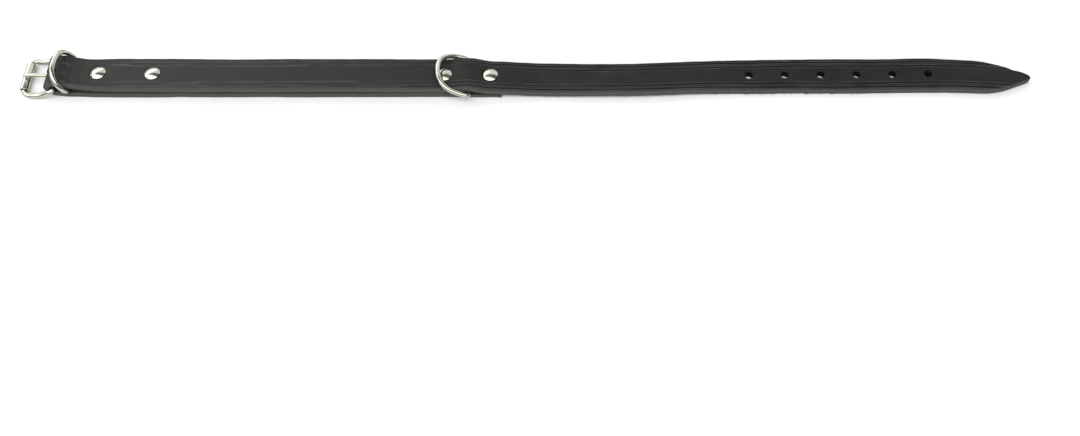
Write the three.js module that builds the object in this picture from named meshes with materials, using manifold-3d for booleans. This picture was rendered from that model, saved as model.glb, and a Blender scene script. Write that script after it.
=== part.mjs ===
// Leather dog collar with a roller buckle and two dees, laid out on a table.
// Millimetres, +Z up. The collar runs along X, buckle at -X, point at +X, and the table is at Z = 0.
// The origin is on the table, under the middle of the collar's box.
import * as THREE from 'three';
import { mergeVertices } from 'three/addons/utils/BufferGeometryUtils.js';
import Module from 'manifold-3d';

const { lerp } = THREE.MathUtils;
const wasm = await Module();
wasm.setup();

// Strap
const COLLAR_LENGTH = 510;
const STRAP_WIDTH = 19.5;
const LEATHER = 3;
const EDGE_BEVEL = 0.4;
const CREASE_WIDTH = 0.9;
const CREASE_DEPTH = 0.4;
const CREASE_INSETS = [2.2, 4.6];
const POINT_LENGTH = 28;

// Clearances: between pieces that lie on each other, and between the two riveted layers
const GAP = 0.3;
const LAYER_GAP = 0.25;

// Underlay: how far it reaches past the last rivet, where its thinning starts before the middle dee,
// how thin its end is, and how far past its end the top layer comes down to the table
const UNDERLAY_PAST_RIVET = 5.7;
const SKIVE_BEFORE_DEE = 15.4;
const SKIVED_END = 1.4;
const STEP_DOWN_LENGTH = 24;

// Fold round the heel bar: the height of its loop, how much is pared off each edge there and at the foot of
// the fold, how far back along the underlay the paring starts, and the turn by which it is done
const FOLD_LOOP = 3.7;
const FOLD_PARING = 0.75;
const FOLD_FOOT_PARING = 0.55;
const FOLD_FOOT = 5;
const FOLD_SETTLE = Math.PI / 5;

// Holes
const HOLE_COUNT = 6;
const HOLE_DIAMETER = 4.7;
const HOLE_PITCH = 18.2;
const LAST_HOLE_TO_POINT = 51.2;

// Buckle
const HEEL_TO_FRONT = 15.6;
const FRAME_WIRE = 2.3;
const RAIL_WIRE = 2.7;
const RAIL_CLEARANCE = 0.35;
const HEEL_CORNER = 1.9;
const FRONT_CORNER = 2.8;
const FRAME_OFFSET = 0.4;
const ROLLER_DIAMETER = 4.4;
const ROLLER_TO_RAIL = 1.25;
const PRONG_WIRE = 1.9;
const PRONG_EYE_WIDTH = 2;
const PRONG_EYE_WALL = 0.9;
const PRONG_OFFSET = -0.7;
const PRONG_PAST_FRONT = 0.8;
const SLOT_CLEARANCE = 0.35;
const SLOT_PAST_HEEL = 2.8;

// Dees: wire, room between strap and leg, height from bar to bow, corner and fullness of the bow,
// dents of the bar in the underlay and in the top layer, and room between the bow and what it leans on.
// The end dee is the smaller one; the strap is pared where it passes through it.
const DEE_WIRE = 2.5;
const END_DEE_CLEARANCE = 0.5;
const MIDDLE_DEE_CLEARANCE = 0.9;
const END_DEE_PLAY = 0.3;
const END_DEE_HEIGHT = 11.4;
const MIDDLE_DEE_HEIGHT = 16.3;
const DEE_CORNER = 2;
const DEE_FULLNESS = 2.55;
const BAR_DENT = 0.2;
const BAR_DENT_ABOVE = 0.7;
const BOW_OVER_FOLD = 0.8;
const BOW_OVER_STRAP = 1.1;
const HEEL_TO_END_DEE = 7.4;
const END_DEE_OFFSET = 0.22;
const HEEL_TO_MIDDLE_DEE = 207.8;
const MIDDLE_DEE_OFFSET = -0.2;
const MIDDLE_DEE_SKEW = 4.5;

// Rivets
const CAP_DIAMETER = 7.6;
const CAP_HEIGHT = 1.5;
const CAP_RIM = 0.4;
const CAP_SEAT = 0.35;
const POST_DIAMETER = 3.2;
const BACK_CAP_DIAMETER = 7.4;
const BACK_CAP_HEIGHT = 0.6;
const BACK_CAP_ROUND = 0.7;
const BACK_CAP_CLEAR = 0.1;
const HEEL_TO_RIVET_1 = 21.4;
const BUCKLE_RIVET_PITCH = 27.4;
const DEE_TO_RIVET_3 = 12;
const DEE_TO_RIVET_4 = 11.2;

// Play of the heel bar, which has been pulled to the lower left of the fold's loop, along X and Z
const barPlay = ((FOLD_LOOP - FRAME_WIRE) / 2 - GAP) * Math.SQRT1_2;

// Places along X
const buckleEnd = -COLLAR_LENGTH / 2;
const pointEnd = COLLAR_LENGTH / 2;
const frontX = buckleEnd + ROLLER_DIAMETER / 2;
const heelX = frontX + HEEL_TO_FRONT;
const foldX = heelX + barPlay;
const endDeeX = heelX + HEEL_TO_END_DEE;
const middleDeeX = heelX + HEEL_TO_MIDDLE_DEE;
const rivet1X = heelX + HEEL_TO_RIVET_1;
const rivet2X = rivet1X + BUCKLE_RIVET_PITCH;
const rivet3X = middleDeeX - DEE_TO_RIVET_3;
const rivet4X = middleDeeX + DEE_TO_RIVET_4;
const underlayEndX = rivet4X + UNDERLAY_PAST_RIVET;
const downX = underlayEndX + STEP_DOWN_LENGTH;
const skiveX = middleDeeX - SKIVE_BEFORE_DEE;
const pointX = pointEnd - POINT_LENGTH;

// Widths that follow from the strap
const foldWidth = STRAP_WIDTH - 2 * FOLD_PARING;
const foldFootWidth = STRAP_WIDTH - 2 * FOLD_FOOT_PARING;
const railSpacing = foldWidth + 2 * RAIL_CLEARANCE + RAIL_WIRE;
const rollerLength = railSpacing - RAIL_WIRE - 2 * ROLLER_TO_RAIL;
const endDeeWidth = foldWidth + 2 * END_DEE_CLEARANCE + DEE_WIRE;
const middleDeeWidth = STRAP_WIDTH + 2 * MIDDLE_DEE_CLEARANCE + DEE_WIRE;
const besideEndDee = endDeeWidth - DEE_WIRE - 2 * END_DEE_PLAY;

// How the strap lies: place as a share of the collar's length, sideways shift in strap widths,
// roll in degrees with the far edge up where it is positive
const LIE = [
  { at: 0.035, shift: 0.015, roll: 1.5 },
  { at: 0.046, shift: 0.012, roll: 0.8 },
  { at: 0.058, shift: 0.008, roll: -1.5 },
  { at: 0.078, shift: 0, roll: -0.4 },
  { at: 0.13, shift: -0.003, roll: 0 },
  { at: 0.216, shift: -0.025, roll: -1.4 },
  { at: 0.275, shift: -0.01, roll: -0.4 },
  { at: 0.333, shift: -0.015, roll: -1.2 },
  { at: 0.412, shift: -0.02, roll: -0.4 },
  { at: 0.465, shift: -0.03, roll: -1.2 },
  { at: 0.514, shift: -0.031, roll: -2.3 },
  { at: 0.559, shift: -0.051, roll: -4 },
  { at: 0.598, shift: -0.049, roll: -4.4 },
  { at: 0.633, shift: -0.015, roll: -4 },
  { at: 0.673, shift: 0.041, roll: -2.5 },
  { at: 0.712, shift: 0.074, roll: -0.3 },
  { at: 0.773, shift: 0.087, roll: 1.9 },
  { at: 0.814, shift: 0.087, roll: 2.4 },
  { at: 0.853, shift: 0.097, roll: 1.6 },
  { at: 0.892, shift: 0.113, roll: 2.4 },
  { at: 0.912, shift: 0.117, roll: 0.8 },
  { at: 0.931, shift: 0.092, roll: -1.2 },
  { at: 0.945, shift: 0.072, roll: -1.4 },
  { at: 1, shift: -0.005, roll: -1 },
];

// How far the underlay stands out sideways from the top layer, in strap widths
const UNDERLAY_LIE = [
  { at: 0.035, shift: -0.02 },
  { at: 0.13, shift: -0.04 },
  { at: 0.165, shift: -0.015 },
  { at: 0.24, shift: -0.01 },
  { at: 0.28, shift: -0.025 },
  { at: 0.36, shift: -0.01 },
  { at: 0.48, shift: 0 },
];

// Outline of the point: place as a share of its length, far and near side as shares of the half width.
// The far side has a small nick two thirds of the way along.
const POINT = [
  { at: 0, far: 1, near: 1 },
  { at: 0.17, far: 0.955, near: 0.98 },
  { at: 0.34, far: 0.855, near: 0.915 },
  { at: 0.51, far: 0.715, near: 0.765 },
  { at: 0.665, far: 0.555, near: 0.575 },
  { at: 0.695, far: 0.49, near: 0.535 },
  { at: 0.84, far: 0.34, near: 0.33 },
  { at: 0.936, far: 0.19, near: 0.18 },
  { at: 0.985, far: 0.09, near: 0.08 },
  { at: 1, far: 0.04, near: 0.04 },
];

// Rivets: place along X and sideways shift from the middle of the strap
const RIVETS = [
  { name: 'rivet_1', x: rivet1X, shift: 0.4 },
  { name: 'rivet_2', x: rivet2X, shift: 0.2 },
  { name: 'rivet_3', x: rivet3X, shift: -0.1 },
  { name: 'rivet_4', x: rivet4X, shift: 0.7 },
];

// Sides of wires and of holes and caps, and steps along the straight stretches of wire
const WIRE_SIDES = 10;
const ROUND_SIDES = 20;
const DEE_BAR_STEP = 7;
const FRAME_STEPS = 6;
const SHANK_STEPS = 14;

// Steps between the strap's sections: over the end dee, under it, round the middle dee, along the riveted and
// the single stretch, along the thinned end of the underlay, and along the rest of it
const FOLD_STEP = 2;
const FOOT_STEP = 4;
const BEND_STEP = 3.5;
const RIVETED_STEP = 14;
const SINGLE_STEP = 10;
const SKIVE_STEP = 5;
const UNDERLAY_STEP = 20;

// Steps round the fold, the caps, the corners and bows of the dees and the frame's corners, in radians
const FOLD_ARC = Math.PI / 10;
const CAP_ARC = Math.PI / 10;
const DEE_CORNER_ARC = Math.PI / 6;
const BOW_ARC = Math.PI / 20;
const FRAME_CORNER_ARC = Math.PI / 8;

const metal = (roughness) => new THREE.MeshStandardMaterial({ color: 0xc9c8bc, metalness: 1, roughness });
const leather = new THREE.MeshStandardMaterial({ color: 0x1c1b1a, metalness: 0, roughness: 0.55 });

// Value of one column of a table at a place, on a smooth curve through the rows that never overshoots them
function readTable(rows, column, place) {
  const last = rows.length - 1;
  const slope = (k) => (rows[k + 1][column] - rows[k][column]) / (rows[k + 1].at - rows[k].at);
  const tangent = (k) => {
    const before = slope(Math.max(k - 1, 0));
    const after = slope(Math.min(k, last - 1));
    return before * after <= 0 ? 0 : (2 * before * after) / (before + after);
  };
  let row = 0;
  while (row < last - 1 && place > rows[row + 1].at) row += 1;
  const span = rows[row + 1].at - rows[row].at;
  const u = THREE.MathUtils.clamp((place - rows[row].at) / span, 0, 1);
  const rise = rows[row + 1][column] - rows[row][column];
  const smooth = u * u * (3 - 2 * u);
  const lead = u * (1 - u) * (1 - u) * tangent(row) * span;
  const trail = u * u * (1 - u) * tangent(row + 1) * span;
  return rows[row][column] + rise * smooth + lead - trail;
}

// Places from one end to the other, both included, about one step apart
function spread(from, to, step) {
  const count = Math.max(1, Math.round(Math.abs(to - from) / step));
  return Array.from({ length: count + 1 }, (_, i) => from + ((to - from) * i) / count);
}

// A geometry as a solid for joining and cutting
function toSolid(geometry) {
  const bare = new THREE.BufferGeometry();
  bare.setAttribute('position', geometry.getAttribute('position').clone());
  if (geometry.getIndex()) bare.setIndex(geometry.getIndex().clone());
  const merged = mergeVertices(bare, 1e-4);
  const corners = merged.getIndex().array;
  const triangles = [];
  for (let i = 0; i < corners.length; i += 3) {
    const [a, b, c] = corners.subarray(i, i + 3);
    if (a !== b && b !== c && c !== a) triangles.push(a, b, c);
  }
  return new wasm.Manifold(new wasm.Mesh({
    numProp: 3,
    vertProperties: new Float32Array(merged.getAttribute('position').array),
    triVerts: new Uint32Array(triangles),
  }));
}

// A solid as a geometry again
function toGeometry(solid) {
  const mesh = solid.getMesh();
  const geometry = new THREE.BufferGeometry();
  geometry.setAttribute('position', new THREE.BufferAttribute(new Float32Array(mesh.vertProperties), 3));
  geometry.setIndex(new THREE.BufferAttribute(new Uint32Array(mesh.triVerts), 1));
  geometry.computeVertexNormals();
  return geometry;
}

function part(name, geometry, material) {
  const mesh = new THREE.Mesh(geometry, material);
  mesh.name = name;
  return mesh;
}

// Skin through rings of points, closed into a loop, or with a flat cap on both ends where an outline is given
function loft(rings, outline) {
  const sides = rings[0].length;
  const count = rings.length;
  const index = [];
  const spans = outline ? count - 1 : count;
  for (let i = 0; i < spans; i += 1) {
    for (let j = 0; j < sides; j += 1) {
      const k = (j + 1) % sides;
      const here = i * sides;
      const next = ((i + 1) % count) * sides;
      index.push(here + j, here + k, next + j, here + k, next + k, next + j);
    }
  }
  if (outline) {
    const lastRing = (count - 1) * sides;
    THREE.ShapeUtils.triangulateShape(outline, []).forEach(([a, b, c]) => {
      index.push(a, c, b, lastRing + a, lastRing + b, lastRing + c);
    });
  }
  const geometry = new THREE.BufferGeometry();
  geometry.setFromPoints(rings.flat());
  geometry.setIndex(index);
  return geometry;
}

// Round wire along a closed line of points; the radius may change from point to point
function wireLoop(points, radiusAt, up) {
  const count = points.length;
  return loft(points.map((point, i) => {
    const ahead = points[(i + 1) % count];
    const behind = points[(i + count - 1) % count];
    const along = ahead.clone().sub(behind).normalize();
    const side = new THREE.Vector3().crossVectors(up, along).normalize();
    const top = new THREE.Vector3().crossVectors(along, side);
    const radius = radiusAt(point);
    return Array.from({ length: WIRE_SIDES }, (_, j) => {
      const turn = (2 * Math.PI * j) / WIRE_SIDES;
      return point.clone()
        .addScaledVector(side, radius * Math.cos(turn))
        .addScaledVector(top, radius * Math.sin(turn));
    });
  }));
}

// Cylinder along an axis of the frame
function cylinder(radius, length, axis, sides = ROUND_SIDES) {
  const geometry = new THREE.CylinderGeometry(radius, radius, length, sides);
  if (axis === 'z') geometry.rotateX(Math.PI / 2);
  return geometry;
}

// Middle of the strap at a place along X, and its roll
const sideways = (x) => STRAP_WIDTH * readTable(LIE, 'shift', (x - buckleEnd) / COLLAR_LENGTH);
const rollAt = (x) => THREE.MathUtils.degToRad(readTable(LIE, 'roll', (x - buckleEnd) / COLLAR_LENGTH));
const underlaySideways = (x) => sideways(x)
  + STRAP_WIDTH * readTable(UNDERLAY_LIE, 'shift', (x - buckleEnd) / COLLAR_LENGTH);

// Thickness of the underlay, thinned towards its end
function underlayThickness(x) {
  const share = THREE.MathUtils.clamp((x - skiveX) / (underlayEndX - skiveX), 0, 1);
  return lerp(LEATHER, SKIVED_END, share);
}

// Heights of the bars between the layers, and of the layer that they lift
const barHeight = (x) => underlayThickness(x) - BAR_DENT + GAP + DEE_WIRE / 2;
const liftedUnder = (x) => barHeight(x) + DEE_WIRE / 2 + GAP - BAR_DENT_ABOVE;
const heelHeight = LEATHER + FOLD_LOOP / 2 - barPlay;
const foldTop = LEATHER + FOLD_LOOP;
const restUnder = (x) => underlayThickness(x) + LAYER_GAP;

// A rolled strap stands on its lower edge, so its middle is lifted
const lift = (x) => (STRAP_WIDTH / 2) * Math.abs(Math.sin(rollAt(x)));

// Height of the lower edge of the top layer along X
const TOP_LAYER = [
  { at: foldX, height: foldTop - lift(foldX) },
  { at: lerp(foldX, endDeeX, 0.4), height: lerp(foldTop, liftedUnder(endDeeX), 0.25) },
  { at: endDeeX, height: liftedUnder(endDeeX) },
  { at: lerp(endDeeX, rivet1X, 0.5), height: lerp(liftedUnder(endDeeX), restUnder(rivet1X), 0.85) },
  { at: rivet1X, height: restUnder(rivet1X) },
  { at: rivet2X, height: restUnder(rivet2X) },
  { at: skiveX, height: restUnder(skiveX) },
  { at: rivet3X, height: restUnder(rivet3X) },
  { at: middleDeeX, height: liftedUnder(middleDeeX) },
  { at: rivet4X, height: restUnder(rivet4X) },
  { at: underlayEndX, height: restUnder(underlayEndX) },
  { at: downX, height: 0 },
  { at: pointEnd, height: 0 },
];

// The underside of the top layer in the middle of the strap
const underAt = (x) => readTable(TOP_LAYER, 'height', x) + lift(x);
const topAt = (x) => underAt(x) + LEATHER;

// Half width of the strap on its far or near side
function halfWidth(x, side) {
  const pared = [
    { at: foldX, width: foldWidth },
    { at: endDeeX + DEE_WIRE, width: foldWidth },
    { at: endDeeX + END_DEE_HEIGHT, width: besideEndDee },
    { at: rivet1X + CAP_DIAMETER, width: STRAP_WIDTH },
  ];
  const full = readTable(pared, 'width', x) / 2;
  return x < pointX ? full : full * readTable(POINT, side, (x - pointX) / POINT_LENGTH);
}

// Section of the strap, flesh side at 0 and grain side at 1, with its creased lines; across runs from -1 to 1
function strapSection() {
  const half = STRAP_WIDTH / 2;
  const bevel = new THREE.Vector2(EDGE_BEVEL / half, EDGE_BEVEL / LEATHER);
  const crease = CREASE_INSETS.map((inset) => [
    new THREE.Vector2(1 - (inset - CREASE_WIDTH / 2) / half, 1),
    new THREE.Vector2(1 - inset / half, 1 - CREASE_DEPTH / LEATHER),
    new THREE.Vector2(1 - (inset + CREASE_WIDTH / 2) / half, 1),
  ]).flat();
  const farSide = [
    new THREE.Vector2(1 - bevel.x, 0),
    new THREE.Vector2(1, bevel.y),
    new THREE.Vector2(1, 1 - bevel.y),
    new THREE.Vector2(1 - bevel.x, 1),
    ...crease,
  ];
  const nearSide = farSide.map((p) => new THREE.Vector2(-p.x, p.y)).reverse();
  return [...farSide, ...nearSide];
}

// Ring of the strap's section at a point on its flesh side; halves are its half widths on both sides
function strapRing(section, point, along, thickness, roll, halves) {
  const level = new THREE.Vector3(0, 1, 0).addScaledVector(along, -along.y).normalize();
  const outward = new THREE.Vector3().crossVectors(along, level);
  const across = level.clone().applyAxisAngle(along, roll);
  const grain = outward.clone().applyAxisAngle(along, roll);
  return section.map((p) => point.clone()
    .addScaledVector(across, p.x * (p.x > 0 ? halves.far : halves.near))
    .addScaledVector(grain, p.y * thickness));
}

// The strap from the end of its underlay, round the fold, to the point
function strapBody() {
  const section = strapSection();
  const rings = [];
  const underlay = [
    ...spread(underlayEndX, skiveX, SKIVE_STEP),
    ...spread(skiveX, rivet1X, UNDERLAY_STEP).slice(1),
    ...spread(rivet1X, foldX, FOOT_STEP).slice(1),
  ];
  underlay.forEach((x) => {
    const along = new THREE.Vector3(-1, underlaySideways(x) - underlaySideways(x + 1), 0).normalize();
    const point = new THREE.Vector3(x, underlaySideways(x), underlayThickness(x));
    const half = lerp(foldFootWidth, STRAP_WIDTH, Math.min(1, (x - foldX) / FOLD_FOOT)) / 2;
    rings.push(strapRing(section, point, along, underlayThickness(x), 0, { far: half, near: half }));
  });
  const foldRadius = FOLD_LOOP / 2;
  spread(0, Math.PI, FOLD_ARC).slice(1, -1).forEach((turn) => {
    const share = Math.min(1, turn / FOLD_SETTLE);
    const along = new THREE.Vector3(-Math.cos(turn), 0, Math.sin(turn));
    const point = new THREE.Vector3(
      foldX - foldRadius * Math.sin(turn),
      lerp(underlaySideways(foldX), sideways(foldX), share),
      LEATHER + foldRadius - foldRadius * Math.cos(turn),
    );
    const half = lerp(foldFootWidth, foldWidth, share) / 2;
    const roll = (rollAt(foldX) * turn) / Math.PI;
    rings.push(strapRing(section, point, along, LEATHER, roll, { far: half, near: half }));
  });
  const top = [
    ...spread(foldX, rivet1X, FOLD_STEP),
    ...spread(rivet1X, skiveX, RIVETED_STEP).slice(1),
    ...spread(skiveX, downX, BEND_STEP).slice(1),
    ...spread(downX, pointX, SINGLE_STEP).slice(1),
    ...POINT.slice(1).map((row) => pointX + row.at * POINT_LENGTH),
  ];
  top.forEach((x) => {
    const slope = (fn) => (fn(x + 0.5) - fn(x - 0.5));
    const rise = x > foldX ? slope(underAt) : 0;
    const along = new THREE.Vector3(1, slope(sideways), rise).normalize();
    const point = new THREE.Vector3(x, sideways(x), underAt(x));
    const halves = { far: halfWidth(x, 'far'), near: halfWidth(x, 'near') };
    rings.push(strapRing(section, point, along, LEATHER, rollAt(x), halves));
  });
  return toSolid(loft(rings, section));
}

// How far from its bar the bow of a dee crosses a line that runs along the strap, off its middle by edge
function bowReach(width, height, edge) {
  const share = (edge / (width / 2)) ** DEE_FULLNESS;
  return DEE_CORNER + (height - DEE_CORNER) * (1 - share) ** (1 / DEE_FULLNESS);
}

// Lean of a dee whose bow passes over the edges of the leather that it lies on
function bowTilt(x, reach, leatherTop, room) {
  return Math.asin((leatherTop + room + DEE_WIRE / 2 - barHeight(x)) / reach);
}

// Placement of a dee: its bar between the layers, leaning towards the buckle
function deePlace(x, offset, tilt, skew) {
  return new THREE.Matrix4().compose(
    new THREE.Vector3(x, offset, barHeight(x)),
    new THREE.Quaternion().setFromEuler(new THREE.Euler(0, tilt, THREE.MathUtils.degToRad(skew), 'ZYX')),
    new THREE.Vector3(1, 1, 1),
  );
}

const endDeeReach = bowReach(endDeeWidth, END_DEE_HEIGHT, foldWidth / 2);
const middleDeeReach = bowReach(middleDeeWidth, MIDDLE_DEE_HEIGHT, STRAP_WIDTH / 2);
const endDeeTilt = bowTilt(endDeeX, endDeeReach, foldTop + LEATHER, BOW_OVER_FOLD);
const middleDeeTilt = bowTilt(middleDeeX, middleDeeReach, topAt(rivet3X), BOW_OVER_STRAP);
const DEES = [
  {
    name: 'end_dee',
    width: endDeeWidth,
    height: END_DEE_HEIGHT,
    place: deePlace(endDeeX, END_DEE_OFFSET, endDeeTilt, 0),
  },
  {
    name: 'middle_dee',
    width: middleDeeWidth,
    height: MIDDLE_DEE_HEIGHT,
    place: deePlace(middleDeeX, MIDDLE_DEE_OFFSET, middleDeeTilt, MIDDLE_DEE_SKEW),
  },
];

// What is cut from the strap: holes, prong slot, rivet holes with their seats, and the dents of the dee bars
function strapCuts() {
  const tall = 6 * LEATHER;
  const cuts = [];
  for (let i = 0; i < HOLE_COUNT; i += 1) {
    const x = pointEnd - LAST_HOLE_TO_POINT - i * HOLE_PITCH;
    cuts.push(cylinder(HOLE_DIAMETER / 2, tall, 'z').translate(x, sideways(x), 0));
  }
  const slotHalf = PRONG_EYE_WIDTH / 2 + SLOT_CLEARANCE;
  const slotEnd = heelX + SLOT_PAST_HEEL - slotHalf;
  const slot = new THREE.Shape();
  slot.moveTo(frontX, -slotHalf);
  slot.lineTo(slotEnd, -slotHalf);
  slot.absarc(slotEnd, 0, slotHalf, -Math.PI / 2, Math.PI / 2);
  slot.lineTo(frontX, slotHalf);
  cuts.push(new THREE.ExtrudeGeometry(slot, { depth: tall, bevelEnabled: false, curveSegments: 6 })
    .translate(0, PRONG_OFFSET, -LEATHER));
  RIVETS.forEach(({ x, shift }) => {
    const y = sideways(x) + shift;
    const seat = topAt(x) - CAP_SEAT;
    const backSeat = BACK_CAP_CLEAR + BACK_CAP_HEIGHT + GAP;
    cuts.push(cylinder(POST_DIAMETER / 2 + GAP, tall, 'z').translate(x, y, 0));
    cuts.push(cylinder(CAP_DIAMETER / 2 + GAP, LEATHER, 'z').translate(x, y, seat - GAP + LEATHER / 2));
    cuts.push(cylinder(BACK_CAP_DIAMETER / 2 + GAP, backSeat * 2, 'z').translate(x, y, 0));
  });
  DEES.forEach(({ width, place }) => {
    cuts.push(cylinder(DEE_WIRE / 2 + GAP, width, 'y', WIRE_SIDES * 2).applyMatrix4(place));
  });
  return cuts;
}

function strap() {
  const cut = strapCuts().reduce((body, tool) => body.subtract(toSolid(tool)), strapBody());
  return part('strap', toGeometry(cut), leather);
}

// Cap rivet: domed cap on the grain, post through both layers, low back cap drawn into the leather
function rivet({ name, x, shift }) {
  const seat = topAt(x) - CAP_SEAT;
  const back = BACK_CAP_DIAMETER / 2;
  const post = POST_DIAMETER / 2;
  const backTop = BACK_CAP_CLEAR + BACK_CAP_HEIGHT;
  const dome = spread(0, Math.PI / 2, CAP_ARC).map((turn) => [
    (CAP_DIAMETER / 2) * Math.cos(turn),
    seat + CAP_RIM + (CAP_HEIGHT - CAP_RIM) * Math.sin(turn),
  ]);
  const profile = [
    [0, BACK_CAP_CLEAR],
    [back - BACK_CAP_ROUND, BACK_CAP_CLEAR],
    [back, BACK_CAP_CLEAR + BACK_CAP_HEIGHT / 2],
    [back, backTop],
    [post, backTop],
    [post, seat],
    [CAP_DIAMETER / 2, seat],
    ...dome,
  ].map(([r, z]) => new THREE.Vector2(r, z));
  profile[profile.length - 1].x = 0;
  const geometry = new THREE.LatheGeometry(profile, ROUND_SIDES).rotateX(Math.PI / 2);
  const mesh = part(name, toGeometry(toSolid(geometry)), metal(0.25));
  mesh.position.set(x, sideways(x) + shift, 0);
  return mesh;
}

// Dee: straight bar on the Y axis, rounded corners, and a bow that is an oval filled out towards a box
function dee({ name, width, height, place }) {
  const half = width / 2;
  const points = spread(half - DEE_CORNER, -half + DEE_CORNER, DEE_BAR_STEP)
    .map((y) => new THREE.Vector3(0, y, 0));
  const corner = spread(0, Math.PI / 2, DEE_CORNER_ARC);
  corner.slice(1).forEach((turn) => points.push(new THREE.Vector3(
    -DEE_CORNER * (1 - Math.cos(turn)), -half + DEE_CORNER * (1 - Math.sin(turn)), 0)));
  const power = 2 / DEE_FULLNESS;
  spread(0, Math.PI, BOW_ARC).slice(1, -1).forEach((turn) => {
    const side = Math.cos(turn);
    points.push(new THREE.Vector3(
      -DEE_CORNER - (height - DEE_CORNER) * Math.sin(turn) ** power,
      -half * Math.sign(side) * Math.abs(side) ** power,
      0));
  });
  corner.slice(1).reverse().forEach((turn) => points.push(new THREE.Vector3(
    -DEE_CORNER * (1 - Math.cos(turn)), half - DEE_CORNER * (1 - Math.sin(turn)), 0)));
  const geometry = wireLoop(points, () => DEE_WIRE / 2, new THREE.Vector3(0, 0, 1));
  const mesh = part(name, toGeometry(toSolid(geometry)), metal(0.2));
  mesh.applyMatrix4(place);
  return mesh;
}

// Height of the prong's shank from the heel bar to the roller, as a share of its height on the roller
const SHANK_LIE = [
  { at: 0.4, height: 0.85 },
  { at: 0.7, height: 1.1 },
];

// Height of the frame's wire from the front bar, on the table with its roller, to the heel bar in the fold
const RAIL_LIE = [
  { at: 0, height: ROLLER_DIAMETER / 2 },
  { at: 0.4, height: RAIL_WIRE / 2 },
  { at: 1, height: heelHeight },
];

// Buckle frame: rounded rectangle of wire whose rails dip to the table and are thickest there
function buckleFrame() {
  const half = railSpacing / 2;
  const corners = [
    [frontX, -half, Math.PI, 1.5 * Math.PI],
    [heelX, -half, 1.5 * Math.PI, 2 * Math.PI],
    [heelX, half, 0, 0.5 * Math.PI],
    [frontX, half, 0.5 * Math.PI, Math.PI],
  ];
  const plan = [];
  corners.forEach(([x, y, start, end]) => {
    const corner = x === frontX ? FRONT_CORNER : HEEL_CORNER;
    const cx = x + (x === frontX ? corner : -corner);
    const cy = y - Math.sign(y) * corner;
    const arc = spread(start, end, FRAME_CORNER_ARC)
      .map((turn) => [cx + corner * Math.cos(turn), cy + corner * Math.sin(turn)]);
    if (plan.length) {
      const from = plan[plan.length - 1];
      const steps = spread(0, 1, 1 / FRAME_STEPS).slice(1, -1);
      steps.forEach((u) => plan.push([
        lerp(from[0], arc[0][0], u), lerp(from[1], arc[0][1], u)]));
    }
    plan.push(...arc);
  });
  const reach = (x) => (x - frontX) / HEEL_TO_FRONT;
  const points = plan.map(([x, y]) => new THREE.Vector3(
    x, y + FRAME_OFFSET, readTable(RAIL_LIE, 'height', reach(x))));
  const radiusAt = (p) => lerp(
    FRAME_WIRE, RAIL_WIRE, Math.sin(Math.PI * THREE.MathUtils.clamp(reach(p.x), 0, 1))) / 2;
  const geometry = wireLoop(points, radiusAt, new THREE.Vector3(0, 0, 1));
  return part('buckle_frame', toGeometry(toSolid(geometry)), metal(0.25));
}

// Roller: open tube round the front bar
function buckleRoller() {
  const inner = FRAME_WIRE / 2 + GAP;
  const outer = ROLLER_DIAMETER / 2;
  const end = rollerLength / 2;
  const profile = [[inner, -end], [outer, -end], [outer, end], [inner, end], [inner, -end]]
    .map(([r, y]) => new THREE.Vector2(r, y));
  const geometry = new THREE.LatheGeometry(profile, ROUND_SIDES);
  const mesh = part('buckle_roller', toGeometry(toSolid(geometry)), metal(0.3));
  mesh.position.set(frontX, FRAME_OFFSET, ROLLER_DIAMETER / 2);
  return mesh;
}

// Prong: eye round the heel bar and a wire shank that rests on the roller with its tip turned down
function buckleProng() {
  const bore = FRAME_WIRE / 2 + GAP;
  const rim = bore + PRONG_EYE_WALL;
  const end = PRONG_EYE_WIDTH / 2;
  const profile = [[bore, -end], [rim, -end], [rim, end], [bore, end], [bore, -end]]
    .map(([r, y]) => new THREE.Vector2(r, y));
  const eye = toSolid(new THREE.LatheGeometry(profile, ROUND_SIDES));
  const rollerRise = ROLLER_DIAMETER / 2 - heelHeight;
  const overRoller = ROLLER_DIAMETER / 2 + GAP + PRONG_WIRE / 2;
  const tip = Math.asin(PRONG_PAST_FRONT / overRoller);
  const path = new THREE.CatmullRomCurve3([
    new THREE.Vector3(-bore - PRONG_EYE_WALL / 2, 0, (overRoller + rollerRise) * 0.4),
    ...SHANK_LIE.map((row) => new THREE.Vector3(
      -HEEL_TO_FRONT * row.at, 0, (overRoller + rollerRise) * row.height)),
    new THREE.Vector3(-HEEL_TO_FRONT, 0, overRoller + rollerRise),
    new THREE.Vector3(-HEEL_TO_FRONT - PRONG_PAST_FRONT, 0, overRoller * Math.cos(tip) + rollerRise),
  ]);
  const round = new THREE.Shape();
  round.absarc(0, 0, PRONG_WIRE / 2, 0, 2 * Math.PI);
  const shank = toSolid(new THREE.ExtrudeGeometry(round, {
    steps: SHANK_STEPS, curveSegments: WIRE_SIDES / 2, bevelEnabled: false, extrudePath: path,
  }));
  const mesh = part('buckle_prong', toGeometry(eye.add(shank)), metal(0.2));
  mesh.position.set(heelX, PRONG_OFFSET, heelHeight);
  return mesh;
}

const collar = new THREE.Group();
collar.add(strap());
RIVETS.forEach((row) => collar.add(rivet(row)));
DEES.forEach((row) => collar.add(dee(row)));
collar.add(buckleFrame());
collar.add(buckleRoller());
collar.add(buckleProng());

export default collar;
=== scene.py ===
"""Leather dog collar laid out on a table: surfaces and finishes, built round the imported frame.

Lengths are millimetres in the formulas and metres in the meshes. The collar runs along X with its buckle at
-X, and the table is at Z = 0. A shell is a piece's points in millimetres, its four-cornered faces, and its
caps, each of which is a ring of point numbers.
"""

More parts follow.
